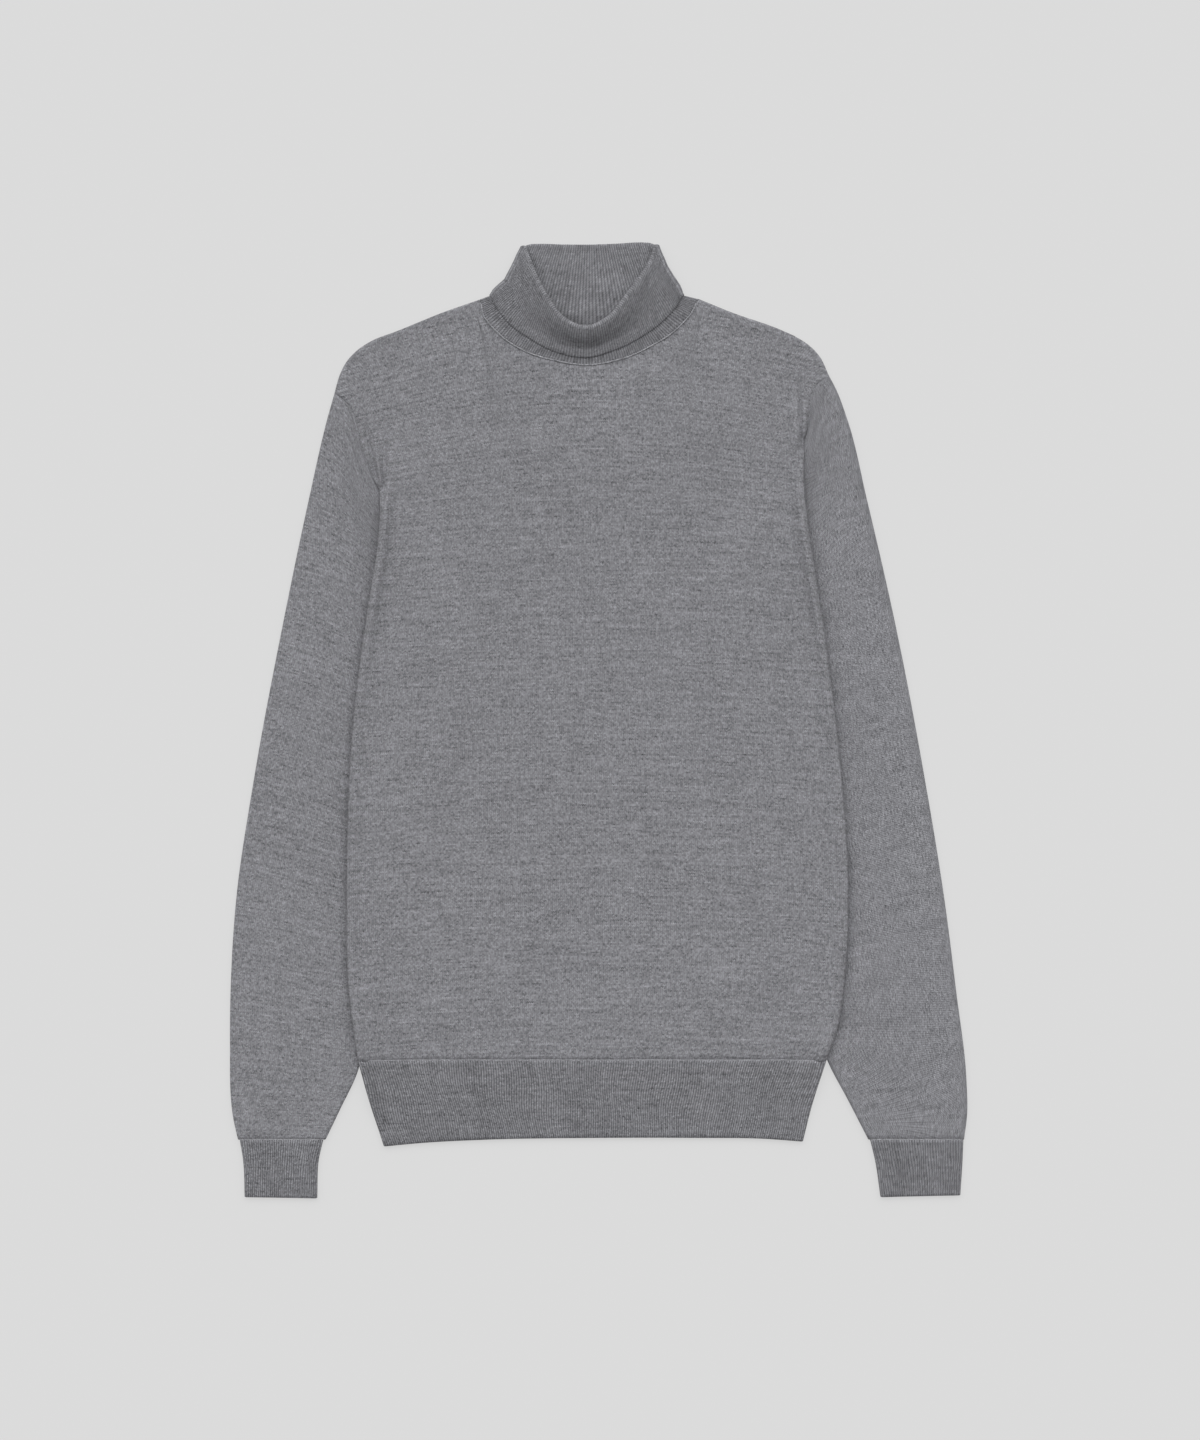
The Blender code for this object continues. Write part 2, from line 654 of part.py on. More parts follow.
def body_panel(name, neck, upper):
    """The front or the back of the body, in plain knit."""
    outer, inner = [], []
    for keys, plan in panel_rows(neck):
        lift = lift_over_sleeves(plan)
        over, under, _ = laid(plan, BODY_FOLDS, JERSEY, upper, lift, SEAM)
        outer.append(Row(keys, over))
        inner.append(Row(keys, under))
    return cloth(name, outer, inner, WOOL)


def hem_plan(keys, up):
    """Plan points of the hem rib at shares across it, on the row at one share up it."""
    head = HEM_LINE - np.array([0.0, HALF_SEAM])
    left, right = (EDGES[side].hem[::-1] for side in SIDES)
    foot = spline([left[0], *HEM_FOOT[1:-1], right[0]], SIDE_SAMPLES)
    a = keys[:, None]
    ruled = (1 - up) * along(foot, keys) + up * along(head, keys)
    ruled = ruled + (1 - a) * along(left, up) + a * along(right, up)
    return ruled - (1 - up) * ((1 - a) * foot[0] + a * foot[-1]) - up * (
        (1 - a) * head[0] + a * head[-1]
    )


def hem_rib(name, upper):
    """A band of rib at the foot of the front or the back; the underside lies flat, so it is plain."""
    width = RIGHT_SIDE[-1].x - LEFT_SIDE[-1].x
    fine = np.linspace(0.0, 1.0, 2 * HEM_RIBS + 1)
    plain = fine[:: 2 * RIBS_A_STEP] if upper else np.linspace(0.0, 1.0, HEM_BACK_COUNT)
    rolls = np.concatenate([ROLL_STEPS, LIFT_START + np.array(RAMP_STEPS)[1:]]) / width
    plain = np.unique(np.concatenate([rolls, plain[1:-1], 1.0 - rolls]))
    plain = plain[np.append(True, np.diff(plain) > LEAST_STEP / width)]
    visible, hidden = [], []
    for up in (0.0, 1.0):
        for keys, rows in ((fine if upper else plain, visible), (plain, hidden)):
            plan = hem_plan(keys, up)
            faces = laid(plan, BODY_FOLDS, RIB, upper, lift_over_sleeves(plan), SEAM)
            face = faces[0] if rows is visible else faces[1]
            if upper and rows is visible:
                face[:, 2] += RIB_RAISE * (np.arange(len(keys)) % 2) * faces[2]
            rows.append(Row(keys, face))
    return cloth(name, visible, hidden, RIB_WOOL)


# ---- the sleeves ----

SLEEVE_ROWS = (0.0, 0.025, 0.05, 0.075, 0.1, 0.135, 0.18, 0.28, 0.44, 0.62, 0.79, 0.92, 1.0)
CUFF_ROWS = (0.0, 0.35, 1.0)
CUFF_SAMPLES = 80


def ring(plan, folds, wall, keys):
    """Outer and inner rows of a flattened tube over rows of plan points: over the top and back."""
    rows, columns = plan.shape[:2]
    flat = plan.reshape(-1, 2)
    top = laid(flat, folds, wall, True)
    bottom = laid(flat, folds, wall, False)
    around = np.concatenate([keys / 2.0, 1.0 - keys[-2:0:-1] / 2.0])
    faces = []
    for over, under in zip(top[:2], bottom[:2]):
        over = over.reshape(rows, columns, 3)
        under = under.reshape(rows, columns, 3)[:, -2:0:-1]
        faces.append([Row(around, row) for row in np.concatenate([over, under], axis=1)])
    return faces


def sleeve(side):
    """A sleeve: a flattened tube from the armhole seam to the cuff, plain knit."""
    armhole, inner_edge = EDGES[side].sleeve_armhole, EDGES[side].sleeve_inner
    outer_edge = part_of(OUTER[side], armhole[0], OUTER[side][-1])
    wrist = np.array([outer_edge[-1], inner_edge[-1]])
    down = np.array(SLEEVE_ROWS)
    at_outer, at_inner = along(outer_edge, down), along(inner_edge, down)
    width = np.linalg.norm(at_outer - at_inner, axis=1)
    width[0] = lengths(armhole)[-1]
    across = np.array([steps_across(reach, SEAM_STEPS, MIDDLE_STEPS) for reach in width])
    down = np.repeat(down[:, None], across.shape[1], axis=1)
    foot, head = along(armhole, across), along(wrist, across)
    plan = patch(foot, head, at_outer[:, None], at_inner[:, None], across, down)
    folds = [OUTER_FOLDS[side], INNER_FOLDS[side]]
    outer, inner = ring(plan, folds, JERSEY, np.linspace(0.0, 1.0, across.shape[1]))
    return cloth(f"{side}_sleeve", outer, inner, WOOL, closed=True)


def cuff(side, outer_points, inner_points):
    """A cuff: a flattened tube of rib, raised on the side that shows."""
    outer_edge, inner_edge = spline(outer_points, CUFF_SAMPLES), spline(inner_points, CUFF_SAMPLES)
    rows = np.array(CUFF_ROWS)
    seam = unit(inner_edge[0] - outer_edge[0])
    folds = [Fold(outer_edge, INWARD[side], seam), Fold(inner_edge, -INWARD[side], -seam)]
    wrist, hand = (np.array([outer_edge[end], inner_edge[end]]) for end in (0, -1))
    width = abs(outer_points[0].x - inner_points[0].x)
    fine = np.linspace(0.0, 1.0, 2 * CUFF_RIBS + 1)
    plain = steps_across(width, ROLL_STEPS[:3], CUFF_RIBS // RIBS_A_STEP)
    plans = []
    for keys in (fine, plain):
        across, down = np.meshgrid(keys, rows)
        at_outer, at_inner = along(outer_edge, down), along(inner_edge, down)
        foot, head = along(wrist, across), along(hand, across)
        plans.append(patch(foot, head, at_outer, at_inner, across, down))
    top, _, rise = laid(plans[0].reshape(-1, 2), folds, RIB, True)
    top[:, 2] += RIB_RAISE * np.tile(np.arange(len(fine)) % 2, len(rows)) * rise
    under, inner = ring(plans[1], folds, RIB, plain)
    outer = []
    for ribbed, row in zip(top.reshape(len(rows), -1, 3), under):
        keys = np.concatenate([fine / 2.0, row.keys[len(plain) :]])
        outer.append(Row(keys, np.vstack([ribbed, row.points[len(plain) :]])))
    return cloth(f"{side}_cuff_rib", outer, inner, RIB_WOOL, closed=True)


# ---- the collar ----

SAMPLES_A_RIB = 6
COLLAR_SAMPLE = RIB_PITCH / SAMPLES_A_RIB  # spacing of the loop's samples
CORE_LEVELS = 81
FOLD_SAMPLES = 24
FOLD_STEP = 4  # samples to a modelled column of a side fold
RIDGE_FADE = 30.0  # samples over which the ribs die out towards a side fold
ROLL_END = 0.55  # share of the turnover over which it rises from its free edge
CLIMB_START = 0.4  # share of it from which it climbs to the crest
RIB_SHOWS = (0.1, 0.5)  # how far up a face looks, from where its ribs start to where they are whole
CREST_DEGREES = (-90.0, -32.0, 32.0, 90.0)  # round the crest, from the inside over to the outside
FRONT_NECK_COUNT = 33
BACK_NECK_COUNT = 21
CLIMB = (0.0, 0.4, 0.78)  # levels of the modelled rows, from the free edge to the crest


def collar_run(stations):
    """Shares along the crest of a row of collar stations."""
    run = lengths(np.array(stations)[:, 4:6])
    return run / run[-1]


def collar_count(stations):
    """How many samples a row of stations has: whole ribs, and one to end on."""
    run = lengths(np.array(stations)[:, 4:6])[-1]
    return int(run / COLLAR_SAMPLE) // SAMPLES_A_RIB * SAMPLES_A_RIB + 1


def coarse_samples(samples, count):
    """Samples of the collar's plain faces, spread over its ribs and lying between two of them."""
    ribs = (samples - 1) // SAMPLES_A_RIB
    return np.round(np.linspace(0.0, ribs, count)).astype(int) * SAMPLES_A_RIB


def collar_levels(stations):
    """Points of the folded collar's middle along a row of stations, at every level."""
    count = collar_count(stations)
    at = hermite(collar_run(stations), np.array(stations), np.linspace(0.0, 1.0, count))
    seam, edge, crest = at[:, 0:2], at[:, 2:4], at[:, 4:6]
    seam_z, edge_z, middle_z, crest_z = at[:, 6:10].T
    levels = []
    for level in np.linspace(0.0, 1.0, CORE_LEVELS):
        below = min(level / STAND_SHOWS, 1.0)
        up = max((level - STAND_SHOWS) / (1.0 - STAND_SHOWS), 0.0)
        plan = seam + (edge - seam) * below + (crest - edge) * up
        roll = 1.0 - (1.0 - min(up / ROLL_END, 1.0)) ** 2
        climb = max((up - CLIMB_START) / (1.0 - CLIMB_START), 0.0) ** 2
        height = seam_z + (edge_z - seam_z) * smooth(below)
        height = height + (middle_z - edge_z) * roll + (crest_z - middle_z) * climb
        levels.append(np.column_stack([plan, height]))
    return np.array(levels)


def collar_fold(start, end, mirror):
    """Half rounds that join the front and the back of the collar's middle, at every level."""
    angle = np.linspace(0.0, np.pi, FOLD_SAMPLES + 2)[1:-1, None]
    folds = []
    for level, first, last in zip(np.linspace(0.0, 1.0, CORE_LEVELS), start, end):
        facing = np.radians(np.interp(level, (0.0, STAND_SHOWS, 1.0), COLLAR_FACING))
        way = np.array([mirror * np.cos(facing), np.sin(facing), 0.0])
        middle, reach = (first + last) / 2.0, (first - last) / 2.0
        radius = np.linalg.norm(reach)
        folds.append(middle + reach * np.cos(angle) + way * radius * np.sin(angle))
    return np.array(folds)


def collar():
    """The collar: stand, crest and turnover in one wall, ribbed on the face that shows."""
    front, back = collar_levels(COLLAR_FRONT), collar_levels(COLLAR_BACK)
    right_fold = collar_fold(front[:, -1], back[:, 0], 1.0)
    left_fold = collar_fold(back[:, -1], front[:, 0], -1.0)
    core = np.concatenate([front, right_fold, back, left_fold], axis=1)
    ends = np.cumsum([0, front.shape[1], FOLD_SAMPLES, back.shape[1], FOLD_SAMPLES])
    total = ends[-1]

    around = np.roll(core, -1, axis=1) - np.roll(core, 1, axis=1)
    upward = np.gradient(core, axis=0)
    upward[0, :, 2] = 0.0
    out = np.cross(around, upward)
    out /= np.linalg.norm(out, axis=2, keepdims=True)
    ahead = np.cross(out, around)
    ahead /= np.linalg.norm(ahead, axis=2, keepdims=True)

    half_rib = SAMPLES_A_RIB // 2
    fine = [np.arange(ends[0], ends[1], half_rib), np.arange(ends[2], ends[3], half_rib)]
    coarse = [
        ends[0] + coarse_samples(front.shape[1], FRONT_NECK_COUNT),
        ends[2] + coarse_samples(back.shape[1], BACK_NECK_COUNT),
    ]
    first = FOLD_STEP // 2
    folds = [np.arange(ends[side] + first, ends[side + 1], FOLD_STEP) for side in (1, 3)]
    folds = np.concatenate(folds)
    columns = {
        "stand": np.unique(np.concatenate([coarse[0], folds, fine[1], coarse[1]])),
        "crest": np.unique(np.concatenate([*fine, folds, *coarse])),
        "turnover": np.unique(np.concatenate([fine[0], coarse[0], folds, coarse[1]])),
        "plain": np.unique(np.concatenate([*coarse, folds])),
    }
    edge, top = round(STAND_SHOWS * (CORE_LEVELS - 1)), CORE_LEVELS - 1
    climb = [edge + round((top - edge) * share) for share in CLIMB]
    route = [(level, -90.0, "stand") for level in [0, *climb]]
    route += [(top, angle, "crest") for angle in CREST_DEGREES]
    route += [(level, 90.0, "turnover") for level in climb[::-1]]
    visible, hidden = [], []
    from_end = [np.arange(stop - start) for start, stop in zip(ends, ends[1:])]
    shown = [np.minimum(run, run[::-1]) / RIDGE_FADE for run in from_end]
    shown[1][:] = shown[3][:] = 0.0
    ridge = np.concatenate([run // half_rib % 2 for run in from_end]) * smooth(np.concatenate(shown))
    for level, degrees, stretch in route:
        angle = np.radians(degrees)
        normal = np.sin(angle) * out[level] + np.cos(angle) * ahead[level]
        looks_up = smooth((normal[:, 2] - RIB_SHOWS[0]) / (RIB_SHOWS[1] - RIB_SHOWS[0]))
        raised = looks_up * RIB_RAISE * ridge
        show = core[level] + normal * (COLLAR_CORE + RIB / 2.0 + raised)[:, None]
        show[:, 2] = np.maximum(show[:, 2], 0.0)
        back_face = core[level] + normal * (COLLAR_CORE - RIB / 2.0)
        keys = columns[stretch]
        visible.append(Row(keys / total, show[keys]))
        keys = columns["plain"]
        hidden.append(Row(keys / total, back_face[keys]))
    return cloth("collar", visible, hidden, RIB_WOOL, closed=True)


def main():
    """Clears the scene and makes the sweater's pieces."""
    for old in list(bpy.data.objects):
        bpy.data.objects.remove(old, do_unlink=True)
    body_panel("front_panel", neck_edge(COLLAR_FRONT, FRONT_NECK_COUNT), upper=True)
    body_panel("back_panel", neck_edge(COLLAR_BACK, BACK_NECK_COUNT), upper=False)
    hem_rib("front_hem_rib", upper=True)
    hem_rib("back_hem_rib", upper=False)
    for side in SIDES:
        sleeve(side)
    cuff("left", LEFT_CUFF_OUTER, LEFT_CUFF_INNER)
    cuff("right", RIGHT_CUFF_OUTER, RIGHT_CUFF_INNER)
    collar()


if __name__ == "__main__":
    main()
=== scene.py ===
"""Dresses a fine-knit turtleneck sweater that lies flat on a pale floor, front up.

The garment's tables and sizes are in millimetres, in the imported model's own frame: +X to the
viewer's right, +Y towards the neck, +Z up, and the origin on the floor. The declared cuts, the
reach of the wools' tints and the studio's sizes are in metres. "Left" and "right" are the
viewer's. Each piece of cloth is one closed wall with its own map of wales and courses.
"""

import logging
from dataclasses import dataclass
from enum import Enum
from typing import NamedTuple

import bpy
import numpy as np
from mathutils.kdtree import KDTree
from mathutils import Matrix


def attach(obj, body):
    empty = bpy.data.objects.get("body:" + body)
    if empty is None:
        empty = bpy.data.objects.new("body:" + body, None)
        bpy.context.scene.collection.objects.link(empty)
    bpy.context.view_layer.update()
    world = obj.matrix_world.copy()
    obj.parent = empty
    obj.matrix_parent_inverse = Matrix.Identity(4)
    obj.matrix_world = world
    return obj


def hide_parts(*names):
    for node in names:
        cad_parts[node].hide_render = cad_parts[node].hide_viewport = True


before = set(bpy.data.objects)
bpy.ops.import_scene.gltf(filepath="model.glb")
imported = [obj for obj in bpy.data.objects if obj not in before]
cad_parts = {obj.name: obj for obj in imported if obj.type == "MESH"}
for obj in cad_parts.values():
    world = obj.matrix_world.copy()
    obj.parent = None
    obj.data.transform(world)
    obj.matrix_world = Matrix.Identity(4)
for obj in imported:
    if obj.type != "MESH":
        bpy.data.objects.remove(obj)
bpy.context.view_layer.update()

LOG = logging.getLogger("sweater")
MM = 0.001
TINY = 1e-9
BODY = "root"
KNIT_MAP = "knit"

# The knit
JERSEY_WALL = 1.2
RIB_WALL = 1.4
PLY_GAP = 0.5  # air between the two layers of a laid piece
RIB_WALE = 1.8  # a rib and the groove beside it, on a ribbed piece's knit map

# A soft fold at an edge: a quarter round that stands a little proud of the flat cloth
FOLD_HALF = 1.85
FOLD_ROUND = 2.4
FOLD_EASE = 9.0
FOLD_TURN = 0.12  # how soon the wall's direction turns about the end of a fold

Points = np.ndarray
Pair = tuple[float, float]
Pairs = tuple[Pair, ...]


class Side(Enum):
    """The viewer's two sides of the garment."""

    LEFT = "left"
    RIGHT = "right"

    @property
    def inward(self) -> float:
        """The way along X from this side to the middle."""
        return 1.0 if self is Side.LEFT else -1.0


class Layer(Enum):
    """Which of the two layers of a laid piece."""

    UPPER = "front"
    LOWER = "back"


class Knit(Enum):
    """The knits, by their names."""

    JERSEY = "jersey"
    RIB = "rib"


# ---- curves in plan ----


def smooth(share: Points) -> Points:
    """An S-shaped ramp from 0 to 1."""
    share = np.clip(share, 0.0, 1.0)
    return share * share * (3.0 - 2.0 * share)


def ridged(phase: Points) -> Points:
    """Ribs that stand from 0 in their grooves to 1, one rib for each whole phase."""
    return 0.5 - 0.5 * np.cos(2.0 * np.pi * phase)


def unit(vectors: Points) -> Points:
    """Vectors at length 1."""
    return vectors / np.maximum(np.linalg.norm(vectors, axis=-1, keepdims=True), TINY)


def turned(vectors: Points) -> Points:
    """Plan vectors turned a quarter turn to the left."""
    return np.stack([-vectors[..., 1], vectors[..., 0]], axis=-1)


def lengths(points: Points) -> Points:
    """Length along a run of points, up to each of them."""
    steps = np.linalg.norm(np.diff(points, axis=0), axis=1)
    return np.concatenate(([0.0], np.cumsum(steps)))


def hermite(knots: Points, values: Points, at: Points) -> Points:
    """Values on a smooth curve through the knots.

    Args:
        knots: where each value lies.
        values: one row of values for each knot.
        at: the places asked for.

    Returns:
        One row of values for each place.
    """
    knots, values, at = (np.asarray(part, float) for part in (knots, values, at))
    slopes = np.gradient(values, knots, axis=0)
    low = np.clip(np.searchsorted(knots, at, side="right") - 1, 0, len(knots) - 2)
    step = (knots[low + 1] - knots[low])[:, None]
    share = (at - knots[low])[:, None] / step
    rest = 1.0 - share
    near = (1.0 + 2.0 * share) * rest**2 * values[low]
    far = share**2 * (3.0 - 2.0 * share) * values[low + 1]
    bend = share * rest**2 * slopes[low] - share**2 * rest * slopes[low + 1]
    return near + far + bend * step


def spline(points: Pairs, samples: int) -> Points:
    """Close samples along a smooth curve through the points.

    Args:
        points: the points.
        samples: how many samples.

    Returns:
        The samples, from the first point to the last.
    """
    points = np.array(points, float)
    knots = lengths(points)
    return hermite(knots, points, np.linspace(0.0, knots[-1], samples))


def along(curve: Points, share: Points | float) -> Points:
    """Points at shares of a sampled curve's length.

    Args:
        curve: the sampled curve.
        share: the shares.

    Returns:
        The points, in the shape of the shares.
    """
    run = lengths(curve)
    at = np.asarray(share, float) * run[-1]
    return np.stack([np.interp(at, run, values) for values in curve.T], axis=-1)


def run_at(curve: Points, point: Points) -> float:
    """Length along a curve up to the place nearest to a point.

    Args:
        curve: the sampled curve.
        point: the point.

    Returns:
        The length.
    """
    step = np.diff(curve, axis=0)
    off = np.array(point) - curve[:-1]
    share = np.clip((off * step).sum(1) / (step * step).sum(1), 0.0, 1.0)
    nearest = np.linalg.norm(off - share[:, None] * step, axis=1).argmin()
    return lengths(curve)[nearest] + share[nearest] * np.linalg.norm(step[nearest])


def part_of(curve: Points, start: Points, end: Points) -> Points:
    """The stretch of a curve between the places nearest to two points.

    Args:
        curve: the sampled curve.
        start: the point that the stretch starts at.
        end: the point that it ends at.

    Returns:
        The stretch's samples, from start to end.
    """
    run = lengths(curve)
    low, high = sorted((run_at(curve, start), run_at(curve, end)))
    within = curve[(run > low) & (run < high)]
    ends = along(curve, np.array([low, high]) / run[-1])
    stretch = np.vstack([ends[:1], within, ends[1:]])
    return stretch if run_at(curve, start) < run_at(curve, end) else stretch[::-1]


def from_curve(points: Points, curve: Points) -> tuple[Points, Points, Points]:
    """How far plan points are from a curve.

    Args:
        points: the plan points.
        curve: the sampled curve.

    Returns:
        The distances, the way from the curve to each point, and the curve's left-hand normal
        there, which is 0 past its start.
    """
    tree = KDTree(len(curve))
    for index, (x, y) in enumerate(curve):
        tree.insert((x, y, 0.0), index)
    tree.balance()
    sample = np.array([tree.find((x, y, 0.0))[1] for x, y in points])
    step = np.diff(curve, axis=0)
    square = (step * step).sum(1)
    found = []
    for piece in (np.maximum(sample - 1, 0), np.minimum(sample, len(step) - 1)):
        off = points - curve[piece]
        share = np.clip((off * step[piece]).sum(1) / square[piece], 0.0, 1.0)
        off = off - share[:, None] * step[piece]
        found.append((np.hypot(*off.T), off, piece, share))
    (far_a, off_a, piece_a, share_a), (far_b, off_b, piece_b, share_b) = found
    first = far_a <= far_b
    piece, share = np.where(first, piece_a, piece_b), np.where(first, share_a, share_b)
    normal = turned(step[piece]) / np.sqrt(square[piece])[:, None]
    normal[(piece == 0) & (share == 0.0)] = 0.0
    return np.where(first, far_a, far_b), np.where(first[:, None], off_a, off_b), normal


def coons_row(
    foot: Points, head: Points, left: Points, right: Points, across: Points, up: float
) -> Points:
    """One row of points between a foot line, a head line and two sides.

    Args:
        foot: the points of the lowest row, one for each column.
        head: those of the highest row.
        left: the row's first point.
        right: its last point.
        across: the columns' shares of the way from left to right.
        up: the row's share of the way from foot to head.

    Returns:
        The row's points.
    """
    a = across[:, None]
    ruled = (1.0 - up) * foot + up * head + (1.0 - a) * left + a * right
    low_ends = (1.0 - up) * ((1.0 - a) * foot[0] + a * foot[-1])
    return ruled - low_ends - up * ((1.0 - a) * head[0] + a * head[-1])


# ---- laid cloth ----


class Fold(NamedTuple):
    """A soft fold: its curve, its inner side and the way of the seam at its start."""

    curve: Points
    inside: float
    cut: Points


def from_folds(points: Points, folds: list[Fold]) -> tuple[Points, Points]:
    """How far plan points are from the nearest fold, and the way into the cloth there.

    Args:
        points: the plan points.
        folds: the folds.

    Returns:
        The distances and the ways.
    """
    found = [from_curve(points, fold.curve) for fold in folds]
    first = np.array([far for far, _, _ in found]).argmin(0)
    near, inward = np.zeros(len(points)), np.zeros((len(points), 2))
    for index, (fold, (far, away, normal)) in enumerate(zip(folds, found)):
        held = first == index
        at_start = ~normal.any(axis=1, keepdims=True)
        way = away + FOLD_TURN * np.where(at_start, fold.cut, fold.inside * normal)
        near[held], inward[held] = far[held], unit(way)[held]
    return near, inward


class Laid(NamedTuple):
    """One layer of laid cloth: its two faces and how flat it lies, from 0 at a fold to 1."""

    outer: Points
    inner: Points
    rise: Points


def laid(
    plan: Points, folds: list[Fold], wall: float, layer: Layer, lift: Points | float = 0.0
) -> Laid:
    """Lays one layer of cloth flat over plan points.

    Args:
        plan: the plan points.
        folds: the folds at its edges.
        wall: its thickness.
        layer: the upper layer falls to a fold's middle, and the lower one rises to it.
        lift: height of what lies under each point.

    Returns:
        The layer's faces.
    """
    near, inward = from_folds(plan, folds)
    share = np.clip(near / FOLD_ROUND, 0.0, 1.0)
    rise = np.sqrt(1.0 - (1.0 - share) ** 2)
    if layer is Layer.UPPER:
        settle = 1.0 - np.exp(-((np.maximum(near - FOLD_ROUND, 0.0) / FOLD_EASE) ** 2))
        proud = 2.0 * FOLD_HALF - 2.0 * wall - PLY_GAP
        outer_z = FOLD_HALF + FOLD_HALF * rise - proud * settle
        inner_z = FOLD_HALF + (FOLD_HALF - wall) * rise - proud * settle
    else:
        outer_z = FOLD_HALF - FOLD_HALF * rise
        inner_z = FOLD_HALF - (FOLD_HALF - wall) * rise
    inner_plan = plan + inward * (wall * (1.0 - share))[:, None]
    return Laid(
        np.column_stack([plan, outer_z + lift]), np.column_stack([inner_plan, inner_z + lift]), rise
    )


def ring(plan: Points, folds: list[Fold], wall: float) -> tuple[Points, Points, Points]:
    """A flattened tube over rows of plan points, which run from its inner fold to its outer one.

    Args:
        plan: plan points, rows by columns.
        folds: its two folds.
        wall: its thickness.

    Returns:
        Its outer and inner points and how flat each lies, over the top and back underneath.
    """
    rows, columns = plan.shape[:2]
    layers = [laid(plan.reshape(-1, 2), folds, wall, layer) for layer in Layer]
    found = []
    for part in range(3):
        over, under = (layer[part].reshape(rows, columns, -1) for layer in layers)
        found.append(np.concatenate([over, under[:, -2:0:-1]], axis=1))
    return found[0], found[1], found[2][..., 0]


# ---- the borders that pieces share ----


class CollarRib(NamedTuple):
    """One rib of the folded collar: its seam, free edge and crest in plan, and its heights."""

    seam_x: float
    seam_y: float
    edge_x: float
    edge_y: float
    crest_x: float
    crest_y: float
    seam_z: float
    edge_z: float
    middle_z: float
    crest_z: float


LEFT_OUTER: Pairs = (
    (-97.7, 344.0), (-126.5, 334.0), (-166.0, 318.0), (-185.5, 310.5), (-199.0, 301.5),
    (-207.0, 292.5), (-212.0, 282.5), (-216.5, 267.0), (-222.5, 245.5), (-237.5, 180.0),
    (-258.0, 81.5), (-282.5, -49.5), (-297.0, -148.0), (-301.5, -222.0), (-302.0, -263.0),
    (-299.0, -328.5), (-295.5, -344.0),
)  # fmt: skip
RIGHT_OUTER: Pairs = (
    (82.2, 344.6), (109.5, 333.5), (149.0, 319.5), (162.0, 313.5), (175.0, 304.5),
    (181.5, 297.0), (189.0, 281.5), (194.0, 272.0), (204.0, 245.5), (220.0, 180.0),
    (242.5, 81.5), (267.5, -49.5), (283.5, -148.0), (293.0, -222.0), (301.5, -295.5),
    (302.0, -324.5), (299.5, -344.0),
)  # fmt: skip
LEFT_ARMHOLE: Pairs = (
    (-216.5, 267.0), (-206.0, 258.0), (-199.0, 242.5), (-196.0, 227.0), (-187.5, 205.0),
    (-180.0, 189.0),
)  # fmt: skip
RIGHT_ARMHOLE: Pairs = (
    (189.0, 281.5), (179.0, 274.0), (174.5, 264.0), (173.5, 252.0), (171.5, 241.0),
    (168.5, 230.0),
)  # fmt: skip
LEFT_SIDE: Pairs = (
    (-180.0, 189.0), (-179.0, 172.0), (-181.0, 143.0), (-189.0, 90.0), (-199.0, 16.0),
    (-204.0, -49.5), (-206.0, -143.0), (-204.5, -222.0), (-197.0, -279.0),
)  # fmt: skip
RIGHT_SIDE: Pairs = (
    (168.5, 230.0), (168.5, 188.0), (171.0, 163.5), (184.0, 77.5), (192.5, 12.0),
    (199.0, -49.5), (204.5, -145.0), (202.0, -205.5), (195.0, -254.5), (186.5, -279.0),
)  # fmt: skip
LEFT_HEM: Pairs = ((-197.0, -279.0), (-187.5, -313.5), (-176.0, -349.5))
RIGHT_HEM: Pairs = ((186.5, -279.0), (176.0, -312.0), (167.5, -345.5))
HEM_FOOT: Pairs = (
    (-176.0, -349.5), (-143.0, -346.5), (-94.0, -344.0), (-5.0, -342.5), (83.0, -342.5),
    (135.5, -343.2), (167.5, -345.5),
)  # fmt: skip
LEFT_INNER: Pairs = (
    (-180.0, 189.0), (-178.3, 175.0), (-176.4, 162.0), (-171.0, 148.0), (-160.0, 132.0),
    (-142.0, 108.0), (-131.0, 73.5), (-131.5, 24.0), (-158.5, -78.5), (-176.0, -148.0),
    (-190.5, -230.0), (-197.0, -287.5), (-212.0, -320.0), (-223.5, -344.0),
)  # fmt: skip
RIGHT_INNER: Pairs = (
    (168.5, 230.0), (167.5, 216.0), (166.0, 204.0), (161.0, 190.0), (149.0, 172.0),
    (129.0, 144.0), (116.5, 106.0), (113.0, 57.0), (136.5, -66.0), (156.0, -148.0),
    (175.0, -230.0), (186.5, -277.0), (204.5, -312.0), (221.0, -344.0),
)  # fmt: skip
